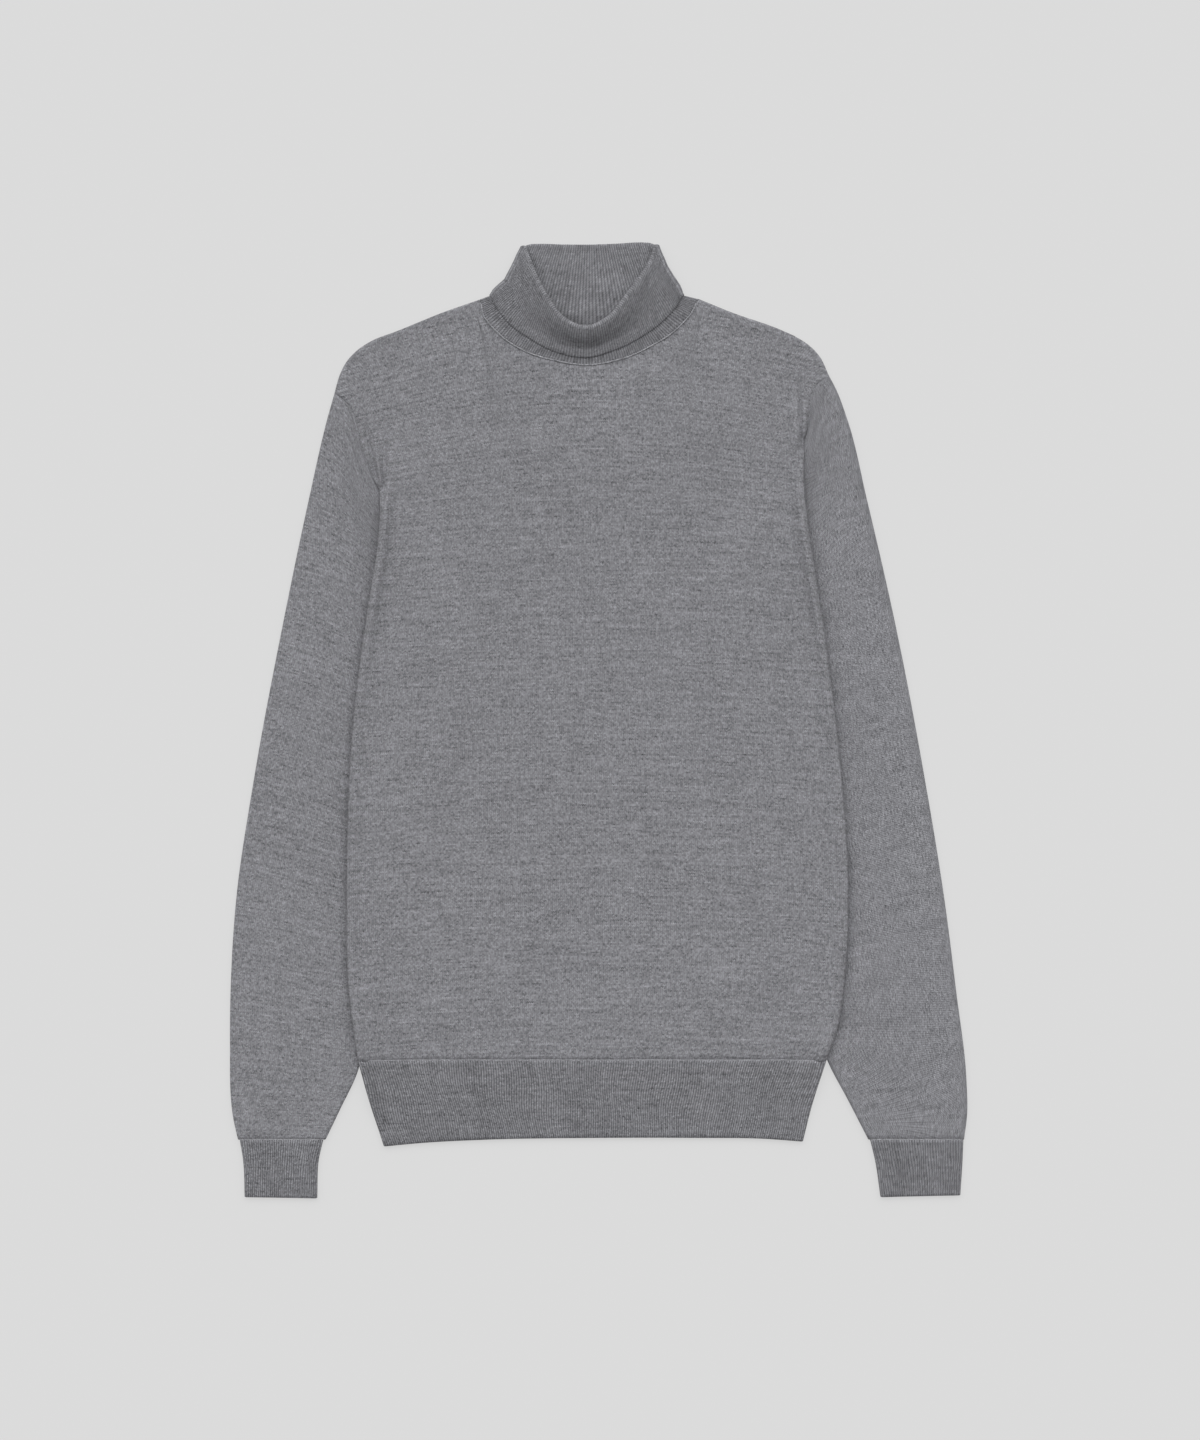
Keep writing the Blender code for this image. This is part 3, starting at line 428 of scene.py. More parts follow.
COLLAR_FRONT: tuple[CollarRib, ...] = (
    CollarRib(-96.5, 342.5, -86.5, 345.5, -60.6, 387.8, 3.5, 6.0, 7.4, 5.4),
    CollarRib(-93.0, 329.0, -81.5, 336.5, -56.0, 373.5, 3.5, 5.8, 7.7, 7.8),
    CollarRib(-81.0, 315.5, -72.5, 325.0, -51.2, 361.0, 3.4, 5.2, 6.6, 9.3),
    CollarRib(-62.5, 303.0, -56.0, 313.0, -42.6, 343.5, 3.2, 4.7, 5.2, 12.0),
    CollarRib(-39.0, 295.0, -35.5, 302.0, -29.0, 325.6, 3.1, 4.4, 5.2, 14.2),
    CollarRib(-10.0, 290.5, -10.0, 297.0, -10.0, 318.3, 3.1, 4.3, 5.4, 15.0),
    CollarRib(17.0, 295.0, 14.5, 304.0, 8.6, 326.4, 3.1, 4.4, 5.4, 14.2),
    CollarRib(42.0, 305.5, 36.5, 315.5, 25.0, 346.4, 3.2, 4.7, 5.4, 12.2),
    CollarRib(62.5, 318.5, 52.0, 327.0, 36.2, 362.8, 3.4, 5.2, 6.0, 9.8),
    CollarRib(75.0, 331.5, 62.0, 338.0, 42.6, 374.5, 3.5, 5.8, 7.0, 8.0),
    CollarRib(81.0, 343.0, 67.0, 346.0, 46.6, 388.8, 3.5, 6.0, 7.4, 5.4),
)
BACK_HEIGHTS = (-0.1, 1.6, 1.6, 1.6)  # of the seam, the free edge, the middle and the crest
COLLAR_BACK: tuple[CollarRib, ...] = (
    CollarRib(81.0, 343.0, 67.0, 346.0, 46.6, 388.8, *BACK_HEIGHTS),
    CollarRib(58.5, 334.0, 52.5, 342.0, 34.0, 389.4, *BACK_HEIGHTS),
    CollarRib(30.0, 327.0, 27.0, 336.5, 13.5, 388.3, *BACK_HEIGHTS),
    CollarRib(-7.0, 323.5, -7.0, 333.5, -7.0, 387.6, *BACK_HEIGHTS),
    CollarRib(-44.0, 327.0, -41.5, 336.5, -29.0, 387.7, *BACK_HEIGHTS),
    CollarRib(-74.0, 334.0, -69.0, 342.0, -48.0, 388.2, *BACK_HEIGHTS),
    CollarRib(-96.5, 342.5, -86.5, 345.5, -60.6, 387.8, *BACK_HEIGHTS),
)

OUTER_SAMPLES = 500
ARMHOLE_SAMPLES = 200
SIDE_SAMPLES = 320
HEM_SAMPLES = 80
CUFF_SAMPLES = 80
NECK_SAMPLES = 160
CUT_SAMPLE = -5  # the sample of an armhole that gives its seam's way at its foot


def both(left: Pairs, right: Pairs, samples: int) -> dict[Side, Points]:
    """The curves through the left side's points and the right side's."""
    return {Side.LEFT: spline(left, samples), Side.RIGHT: spline(right, samples)}


OUTER = both(LEFT_OUTER, RIGHT_OUTER, OUTER_SAMPLES)
ARMHOLE = both(LEFT_ARMHOLE, RIGHT_ARMHOLE, ARMHOLE_SAMPLES)
SIDE = both(LEFT_SIDE, RIGHT_SIDE, SIDE_SAMPLES)
HEM_SIDE = both(LEFT_HEM, RIGHT_HEM, HEM_SAMPLES)
INNER = both(LEFT_INNER, RIGHT_INNER, SIDE_SAMPLES)


class Edges(NamedTuple):
    """The body's edges on one side, all running down: armhole, side and hem."""

    armhole: Points
    side: Points
    hem: Points


def edges_of(side: Side) -> Edges:
    """The body's edges on one side of the garment, the armhole's starting on the silhouette.

    Args:
        side: the side.

    Returns:
        The edges, the side's and the hem's evenly sampled.
    """
    outer, armhole = OUTER[side], ARMHOLE[side].copy()
    armhole[0] = along(outer, run_at(outer, armhole[0]) / lengths(outer)[-1])
    evened = [
        along(curve[side], np.linspace(0.0, 1.0, len(curve[side]))) for curve in (SIDE, HEM_SIDE)
    ]
    return Edges(armhole, *evened)


EDGES = {side: edges_of(side) for side in Side}
NECK_CUT = {
    Side.LEFT: unit(np.subtract(COLLAR_FRONT[1][0:2], COLLAR_FRONT[0][0:2])),
    Side.RIGHT: unit(np.subtract(COLLAR_FRONT[-2][0:2], COLLAR_FRONT[-1][0:2])),
}
ARM_CUT = {side: unit(ARMHOLE[side][CUT_SAMPLE] - ARMHOLE[side][-1]) for side in Side}
OUTER_FOLDS = {side: Fold(OUTER[side], side.inward, NECK_CUT[side]) for side in Side}
INNER_FOLDS = {side: Fold(INNER[side], -side.inward, ARM_CUT[side]) for side in Side}
SIDE_FOLDS = {
    side: Fold(
        np.vstack([EDGES[side].side, EDGES[side].hem[1:]]),
        side.inward,
        np.array([side.inward, 0.0]),
    )
    for side in Side
}
BODY_FOLDS = [*OUTER_FOLDS.values(), *SIDE_FOLDS.values()]


class Underarm(NamedTuple):
    """How high the body's side lies over a tucked sleeve, from above the underarm to below it."""

    ridge_top: float
    ridge_full: float
    edge_top: float
    edge_full: float
    strip: float


UNDERARM = {
    Side.LEFT: Underarm(240.0, 180.0, 189.0, 166.0, 9.0),
    Side.RIGHT: Underarm(264.0, 218.0, 230.0, 207.0, 7.0),
}
LIFT = 4.1
LIFT_START = 8.0
LIFT_RAMP = 36.0


def lift_over_sleeves(plan: Points) -> Points:
    """Height of the body's underside, which rises over the sleeve tucked under each side.

    Args:
        plan: plan points.

    Returns:
        The height at each.
    """
    lift = np.zeros(len(plan))
    for side in Side:
        arm = UNDERARM[side]
        upward = INNER[side][::-1]
        edge_x = np.interp(plan[:, 1], upward[:, 1], upward[:, 0])
        inboard = side.inward * (plan[:, 0] - edge_x)
        across = smooth(1.0 - (inboard - LIFT_START) / LIFT_RAMP)
        ridge = smooth((arm.ridge_top - plan[:, 1]) / (arm.ridge_top - arm.ridge_full))
        edge = smooth((arm.edge_top - plan[:, 1]) / (arm.edge_top - arm.edge_full))
        border = np.vstack([EDGES[side].armhole, EDGES[side].side[1:]])
        inside = smooth(from_curve(plan, border)[0] / arm.strip)
        lift += LIFT * across * (edge + (ridge - edge) * inside)
    return lift


# ---- soft relief ----

CREASE_FADE = 3.0  # a crease has its full depth from a third of its length in from either end


@dataclass(frozen=True)
class Crease:
    """A soft trough or ridge in laid cloth, along a line in plan."""

    start: Pair
    end: Pair
    half_width: float
    height: float
    bow: float = 0.0

    def relief(self, plan: Points) -> Points:
        """Height that it adds, which dies out towards both of its ends.

        Args:
            plan: plan points.

        Returns:
            The height at each.
        """
        start, end = np.array(self.start), np.array(self.end)
        run = np.linalg.norm(end - start)
        ahead = (end - start) / run
        off = plan - start
        down = off @ ahead / run
        aside = off @ turned(ahead) - self.bow * 4.0 * down * (1.0 - down)
        fade = smooth(np.minimum(down, 1.0 - down) * CREASE_FADE)
        return self.height * fade * np.exp(-((aside / self.half_width) ** 2))


def relief(creases: tuple[Crease, ...], plan: Points) -> Points:
    """Height that all the creases add at plan points."""
    return sum((crease.relief(plan) for crease in creases), np.zeros(len(plan)))


@dataclass(frozen=True)
class Welt:
    """A soft ridge or trough that keeps beside a curve, between two heights up the garment."""

    height: float
    half_width: float
    beside: float = 0.0
    low: float = -400.0
    high: float = 400.0
    ease: float = 30.0

    def relief(self, plan: Points, curve: Points) -> Points:
        """Height that it adds.

        Args:
            plan: plan points.
            curve: the curve that it keeps beside.

        Returns:
            The height at each point.
        """
        away = (from_curve(plan, curve)[0] - self.beside) / self.half_width
        ends = smooth((plan[:, 1] - self.low) / self.ease)
        ends = ends * smooth((self.high - plan[:, 1]) / self.ease)
        return self.height * ends * np.exp(-(away**2))


ARMHOLE_SEAM = Welt(-1.8, 1.2, high=300.0, ease=60.0)
SIDE_RIDGE = Welt(1.8, 4.0, beside=5.0, low=-300.0, high=205.0)
UNDERARM_RIDGE = Welt(3.4, 4.2, beside=4.8, low=40.0, high=212.0, ease=60.0)
SIDE_TUCK = Welt(-1.2, 6.0, low=-300.0, high=225.0)
FRONT_CREASES = (
    Crease((-192.5, 250.0), (-178.0, 184.0), 1.3, -3.0, -0.6),
    Crease((-172.4, 246.0), (-176.5, 172.0), 1.5, -3.4, -0.8),
    Crease((-185.0, 248.0), (-176.8, 184.0), 2.2, 2.6, -0.4),
    Crease((-168.0, 246.0), (-170.5, 168.0), 3.2, 2.4),
    Crease((164.6, 272.0), (166.3, 214.0), 1.3, -3.0),
    Crease((169.7, 268.0), (168.4, 222.0), 2.2, 1.8),
    Crease((160.2, 270.0), (161.8, 206.0), 2.8, 1.6),
)


# ---- meshes ----


def corners(grid: Points) -> Points:
    """The four corners of every face between neighbouring rows and columns of a grid."""
    cells = [grid[:-1, :-1], grid[:-1, 1:], grid[1:, 1:], grid[1:, :-1]]
    return np.stack(cells, axis=-1).reshape(-1, 4)


def knit_place(wales: Points, courses: Points, origin: Pair) -> Points:
    """How far along its courses and up its wales each point of a piece is, for its knit map."""
    wales, courses = np.broadcast_arrays(wales + origin[0], courses + origin[1])
    return np.stack([wales, courses], axis=-1)


@dataclass
class Shell:
    """One closed wall of cloth between two grids of points, rows by columns.

    The knit grid holds how far along its courses and up its wales each point is; a tube's has one
    column more, to end on.
    """

    name: str
    outer: Points
    inner: Points
    knit: Points
    tube: bool = False
    lip: float = 0.3

    def strips(self) -> list[tuple[Points, Points, bool]]:
        """The wall's skins and rims, each as a grid.

        Returns:
            For each the grid of its points, that of its places on the knit map, and whether its
            faces are turned round.
        """
        rows, columns = self.outer.shape[:2]
        grid = np.arange(rows * columns).reshape(rows, columns)
        if self.tube:
            grid = np.concatenate([grid, grid[:, :1]], axis=1)
        place = np.arange(rows * self.knit.shape[1]).reshape(rows, -1)
        inside, rim = grid + rows * columns, grid + 2 * rows * columns
        strips = [(grid, place, False), (inside, place, True)]
        for row, turn in ((0, False), (-1, True)):
            for first, second in ((inside, rim), (rim, grid)):
                strips.append((np.stack([first[row], second[row]]), place[[row, row]], turn))
        for column, turn in () if self.tube else ((0, True), (-1, False)):
            edge = np.stack([inside[:, column], grid[:, column]])
            strips.append((edge, np.stack([place[:, column]] * 2), turn))
        return strips

    def build(self) -> bpy.types.Object:
        """Makes the wall, its rounded rims and its knit map.

        Returns:
            The new piece, at the origin.
        """
        middle = (self.outer + self.inner) / 2.0
        for row, beyond in ((0, 1), (-1, -2)):
            middle[row] += self.lip * unit(self.outer[row] - self.outer[beyond])
        points = np.concatenate([self.outer, self.inner, middle]).reshape(-1, 3)
        faces, places = [], []
        for strip, place, turn in self.strips():
            order = slice(None, None, -1 if turn else 1)
            faces.append(corners(strip)[:, order])
            places.append(corners(place)[:, order])
        faces, places = np.concatenate(faces), np.concatenate(places)
        used = np.unique(faces)
        renumber = np.zeros(len(points), int)
        renumber[used] = np.arange(len(used))
        mesh = bpy.data.meshes.new(self.name)
        mesh.from_pydata(points[used] * MM, [], renumber[faces].tolist())
        self.face_outwards(mesh)
        flat = (self.knit.reshape(-1, 2) * MM)[places]
        order = np.empty(len(mesh.loops), int)
        mesh.loops.foreach_get("vertex_index", order)
        if order[0] != renumber[faces[0, 0]]:
            flat = flat[:, ::-1]
        knit_map = mesh.uv_layers.new(name=KNIT_MAP)
        knit_map.uv.foreach_set("vector", flat.astype(np.float32).ravel())
        mesh.shade_smooth()
        piece = bpy.data.objects.new(self.name, mesh)
        bpy.context.scene.collection.objects.link(piece)
        return piece

    @staticmethod
    def face_outwards(mesh: bpy.types.Mesh) -> None:
        """Turns every face round if the closed wall came out inside out.

        Args:
            mesh: the wall's mesh.
        """
        mesh.calc_loop_triangles()
        points = np.array([vertex.co for vertex in mesh.vertices])
        triangles = np.array([triangle.vertices for triangle in mesh.loop_triangles])
        a, b, c = (points[triangles[:, corner]] for corner in range(3))
        if (a * np.cross(b, c)).sum() < 0.0:
            mesh.flip_normals()


# ---- finishes ----

# Reach along the course in metres, weight and seed of the tints that run along single yarns
YARN_STREAKS = ((0.04, 0.5, 1.7), (0.01, 0.7, 5.3), (0.0019, 1.9, 9.1))
YARN_STEP = 1.37  # how far apart neighbouring courses are in the yarns' noise
# Reach in metres along the course and up the wale, and seed, of the cloth's own cloudiness and
# of the fans: painted shade of soft folds where ribs bunch up or spread, as darker streaks
CLOUDS = (0.08, 0.0028, 2.9)
CLOUD_WEIGHT = 0.34
FOLD_SHADE_FANS = (0.011, 0.075, 4.4)
FIBRE_SCALE = 2600.0
FIBRE_SHARE = 0.35
ROUGHNESS = (0.95, -0.08)  # between loops, and what the top of a loop adds


class Graph:
    """Adds and joins shader nodes in one tree."""

    def __init__(self, tree: bpy.types.NodeTree) -> None:
        """Starts on a tree."""
        self.tree = tree

    def add(
        self, kind: str, settings: dict[str, object] | None = None, **inputs: object
    ) -> bpy.types.ShaderNode:
        """Adds a node.

        Args:
            kind: its type, without ShaderNode.
            settings: its properties.
            **inputs: its sockets by name, with _ for a space; i0, i1 ... are sockets by number.

        Returns:
            The node.
        """
        node = self.tree.nodes.new("ShaderNode" + kind)
        for name, value in (settings or {}).items():
            setattr(node, name, value)
        for name, value in inputs.items():
            numbered = name[0] == "i" and name[1:].isdigit()
            socket = node.inputs[int(name[1:]) if numbered else name.replace("_", " ")]
            if isinstance(value, bpy.types.NodeSocket):
                self.tree.links.new(value, socket)
            else:
                socket.default_value = value
        return node

    def math(self, operation: str, *values: object) -> bpy.types.NodeSocket:
        """The outcome of one operation on numbers or sockets."""
        inputs = {f"i{index}": value for index, value in enumerate(values)}
        return self.add("Math", {"operation": operation}, **inputs).outputs[0]

    def cloud(self, x: object, y: object, seed: float, detail: float) -> bpy.types.NodeSocket:
        """Noise about 0 over two coordinates.

        Args:
            x: the first coordinate.
            y: the second.
            seed: which noise.
            detail: its finer levels.

        Returns:
            The noise.
        """
        at = self.add("CombineXYZ", X=x, Y=y, Z=seed).outputs[0]
        noise = self.add("TexNoise", Vector=at, Scale=1.0, Detail=detail).outputs[0]
        return self.math("SUBTRACT", noise, 0.5)


def knit_group() -> bpy.types.NodeTree:
    """Loops of melange yarn, knitted, as a colour with painted shade, a height and a roughness.

    Returns:
        A shader node group on a piece's map of courses and wales.
    """
    tree = bpy.data.node_groups.new("melange_knit", "ShaderNodeTree")
    given_sockets = {
        "Map": "Vector", "Wool": "Color", "Wale": "Float", "Course": "Float", "Slant": "Float",
        "Melange": "Float", "Hollows": "Float", "Grooves": "Float", "Fans": "Float",
    }  # fmt: skip
    made_sockets = {"Color": "Color", "Height": "Float", "Roughness": "Float"}
    for in_out, sockets in (("INPUT", given_sockets), ("OUTPUT", made_sockets)):
        for name, kind in sockets.items():
            tree.interface.new_socket(name=name, in_out=in_out, socket_type="NodeSocket" + kind)
    graph = Graph(tree)
    math = graph.math
    given = tree.nodes.new("NodeGroupInput").outputs
    place = graph.add("SeparateXYZ", Vector=given["Map"]).outputs
    wale = math("FRACT", math("DIVIDE", place[0], given["Wale"]))
    aside = math("ABSOLUTE", math("SUBTRACT", wale, 0.5))
    up = math("DIVIDE", place[1], given["Course"])
    up = math("MULTIPLY_ADD", aside, given["Slant"], up)
    leg = math("SINE", math("MULTIPLY", aside, 2.0 * np.pi))
    yarn = math("SINE", math("MULTIPLY", math("FRACT", up), np.pi))
    loop = math("MULTIPLY", math("POWER", leg, 0.5), yarn)
    loop = math("MULTIPLY_ADD", leg, 0.5, math("MULTIPLY", loop, 0.5))
    course = math("MULTIPLY", math("FLOOR", up), YARN_STEP)
    tint = 0.0
    for reach, weight, seed in YARN_STREAKS:
        streak = graph.cloud(math("DIVIDE", place[0], reach), course, seed, 1.0)
        tint = math("MULTIPLY_ADD", streak, weight, tint)
    clouds, fans = (
        graph.cloud(math("DIVIDE", place[0], across), math("DIVIDE", place[1], upward), seed, 2.0)
        for across, upward, seed in (CLOUDS, FOLD_SHADE_FANS)
    )
    tint = math("MULTIPLY_ADD", clouds, CLOUD_WEIGHT, tint)
    # Painted shade of soft folds: fans of darker and lighter streaks over the colour
    fans = math("MULTIPLY_ADD", fans, given["Fans"], 1.0)
    tint = math("MULTIPLY_ADD", tint, given["Melange"], fans)
    # Painted shade: the colour darkens between the loops, where shade falls
    hollow = math("MULTIPLY", math("SUBTRACT", 1.0, loop), given["Hollows"])
    tint = math("MULTIPLY", tint, math("SUBTRACT", 1.0, hollow))
    # Painted shade: the colour darkens in the grooves between wales and between ribs, where shade
    # falls
    between = math("COSINE", math("MULTIPLY", wale, 2.0 * np.pi))
    shade_in_groove = math("MULTIPLY", math("MULTIPLY_ADD", between, 0.5, 0.5), given["Grooves"])
    tint = math("MULTIPLY", tint, math("SUBTRACT", 1.0, shade_in_groove))
    grey = graph.add("CombineXYZ", X=tint, Y=tint, Z=tint).outputs[0]
    settings = {"data_type": "RGBA", "blend_type": "MULTIPLY"}
    colour = graph.add("Mix", settings, i0=1.0, i6=given["Wool"], i7=grey).outputs[2]
    fibre = graph.add("TexNoise", Vector=given["Map"], Scale=FIBRE_SCALE, Detail=2.0).outputs[0]
    end = tree.nodes.new("NodeGroupOutput").inputs
    tree.links.new(colour, end["Color"])
    tree.links.new(math("MULTIPLY_ADD", fibre, FIBRE_SHARE, loop), end["Height"])
    rough, on_loop = ROUGHNESS
    tree.links.new(math("MULTIPLY_ADD", loop, on_loop, rough), end["Roughness"])
    return tree


@dataclass(frozen=True)
class MelangeWool:
    """A matt grey melange wool knit."""

    name: str
    colour: tuple[float, float, float]
    melange: float
    # how dark the painted shade in the grooves is
    grooves: float
    relief: float
    # how strong the painted fans of fold shade are
    fans: float = 0.0
    wale: float = RIB_WALE
    course: float = 1.15
    slant: float = 1.5
    # how dark the painted shade between the loops is
    hollows: float = 0.3
    depth: float = 0.3
    sheen: float = 0.12
    sheen_roughness: float = 0.5
    specular: float = 0.2

    def material(self, group: bpy.types.NodeTree) -> bpy.types.Material:
        """Makes the material.

        Args:
            group: the melange knit.

        Returns:
            The material, on a piece's knit map.
        """
        material = bpy.data.materials.new(self.name)
        material.use_nodes = True
        graph = Graph(material.node_tree)
        shader = material.node_tree.nodes["Principled BSDF"]
        knit = graph.add(
            "Group",
            {"node_tree": group},
            Map=graph.add("UVMap", {"uv_map": KNIT_MAP}).outputs[0],
            Wool=(*self.colour, 1.0),
            Wale=self.wale * MM,
            Course=self.course * MM,
            Slant=self.slant,
            Melange=self.melange,
            Hollows=self.hollows,
            Grooves=self.grooves,
            Fans=self.fans,
        ).outputs
        bump = graph.add(
            "Bump", Strength=self.relief, Distance=self.depth * MM, Height=knit["Height"]
        )
        links = material.node_tree.links
        links.new(knit["Color"], shader.inputs["Base Color"])
        links.new(knit["Roughness"], shader.inputs["Roughness"])
        links.new(bump.outputs[0], shader.inputs["Normal"])
        shader.inputs["Sheen Weight"].default_value = self.sheen
        shader.inputs["Sheen Roughness"].default_value = self.sheen_roughness
        shader.inputs["Specular IOR Level"].default_value = self.specular
        return material


@dataclass(frozen=True)
class Wardrobe:
    """The materials that the sweater's pieces wear."""

    jersey: bpy.types.Material
    rib: bpy.types.Material
    collar: bpy.types.Material
    chain: bpy.types.Material


# After name and colour: melange, painted shade in the grooves, relief and painted fans of fold
# shade
WOOLS = (
    MelangeWool("jersey_wool", (0.243, 0.2435, 0.26), 0.98, 0.16, 0.7, 0.08, wale=1.6),
    MelangeWool("rib_wool", (0.245, 0.2455, 0.262), 0.9, 0.5, 0.6, 0.4),
    MelangeWool("collar_wool", (0.254, 0.2545, 0.272), 0.85, 0.5, 0.7, 0.15),
    MelangeWool("linking_wool", (0.31, 0.311, 0.33), 0.8, 0.1, 0.7, course=1.2, slant=1.0),
)


def make_wardrobe() -> Wardrobe:
    """Makes the four wools from one group."""
    group = knit_group()
    return Wardrobe(*(wool.material(group) for wool in WOOLS))


# ---- the pieces ----


@dataclass(frozen=True)
class Cloth:
    """What a piece of cloth is: its knit, its cut and what it lies on."""

    knit: Knit
    flat: Pair
    area: float
    rests_on: tuple[str, ...]

    def declare(self, shell: Shell, wool: bpy.types.Material, node: str) -> bpy.types.Object:
        """Builds a wall, dresses it in its wool, hangs it under the body and hides its CAD node.

        Args:
            shell: the wall.
            wool: the wool.
            node: the CAD node that it stands for.

        Returns:
            The piece.
        """
        piece = shell.build()
        piece.data.materials.append(wool)
        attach(piece, BODY)
        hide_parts(node)
        LOG.info("%s: %d triangles", piece.name, 2 * len(piece.data.polygons))
        return piece


# Distances in from a fold that have a column
EDGE_STEPS = (0.0, 0.25, 0.6, 1.1, 1.7, 2.4, 3.4, 4.6, 6.2, 8.4)
FINE_STEPS = (0.0, 0.25, 0.6, 1.1, 1.7, *np.arange(2.4, 17.0, 0.7))


def spread(
    width: float,
    marks: tuple[float, ...],
    counts: tuple[int, ...],
    steps: tuple[float, ...] = EDGE_STEPS,
) -> Points:
    """Shares across a width: close by its folds, even between the marks.

    Args:
        width: the width, in millimetres.
        marks: shares that fall on a column.
        counts: how many columns lie from each mark to the next, folds included.
        steps: distances in from either fold that have a column.

    Returns:
        The shares, from 0 to 1.
    """
    near = np.array(steps) / width
    stops = [near[-1], *marks, 1.0 - near[-1]]
    runs = [near[:-1]]
    for start, stop, count in zip(stops, stops[1:], counts):
        runs.append(np.linspace(start, stop, count + 1)[:-1])
    return np.concatenate([*runs, 1.0 - near[::-1]])


def collar_run(stations: tuple[CollarRib, ...]) -> Points:
    """Shares along the crest of a row of collar stations."""
    run = lengths(np.array(stations)[:, 4:6])
    return run / run[-1]


def neck_edge(stations: tuple[CollarRib, ...]) -> Points:
    """A panel's neck edge, left to right, from the silhouette past the collar's seam.

    Args:
        stations: the collar's stations on that side.

    Returns:
        Plan points along it.
    """
    at = np.linspace(0.0, 1.0, NECK_SAMPLES)
    seam = hermite(collar_run(stations), np.array(stations), at)[:, 0:2]
    if seam[0, 0] > seam[-1, 0]:
        seam = seam[::-1]
    return np.vstack([LEFT_OUTER[0], seam, RIGHT_OUTER[0]])


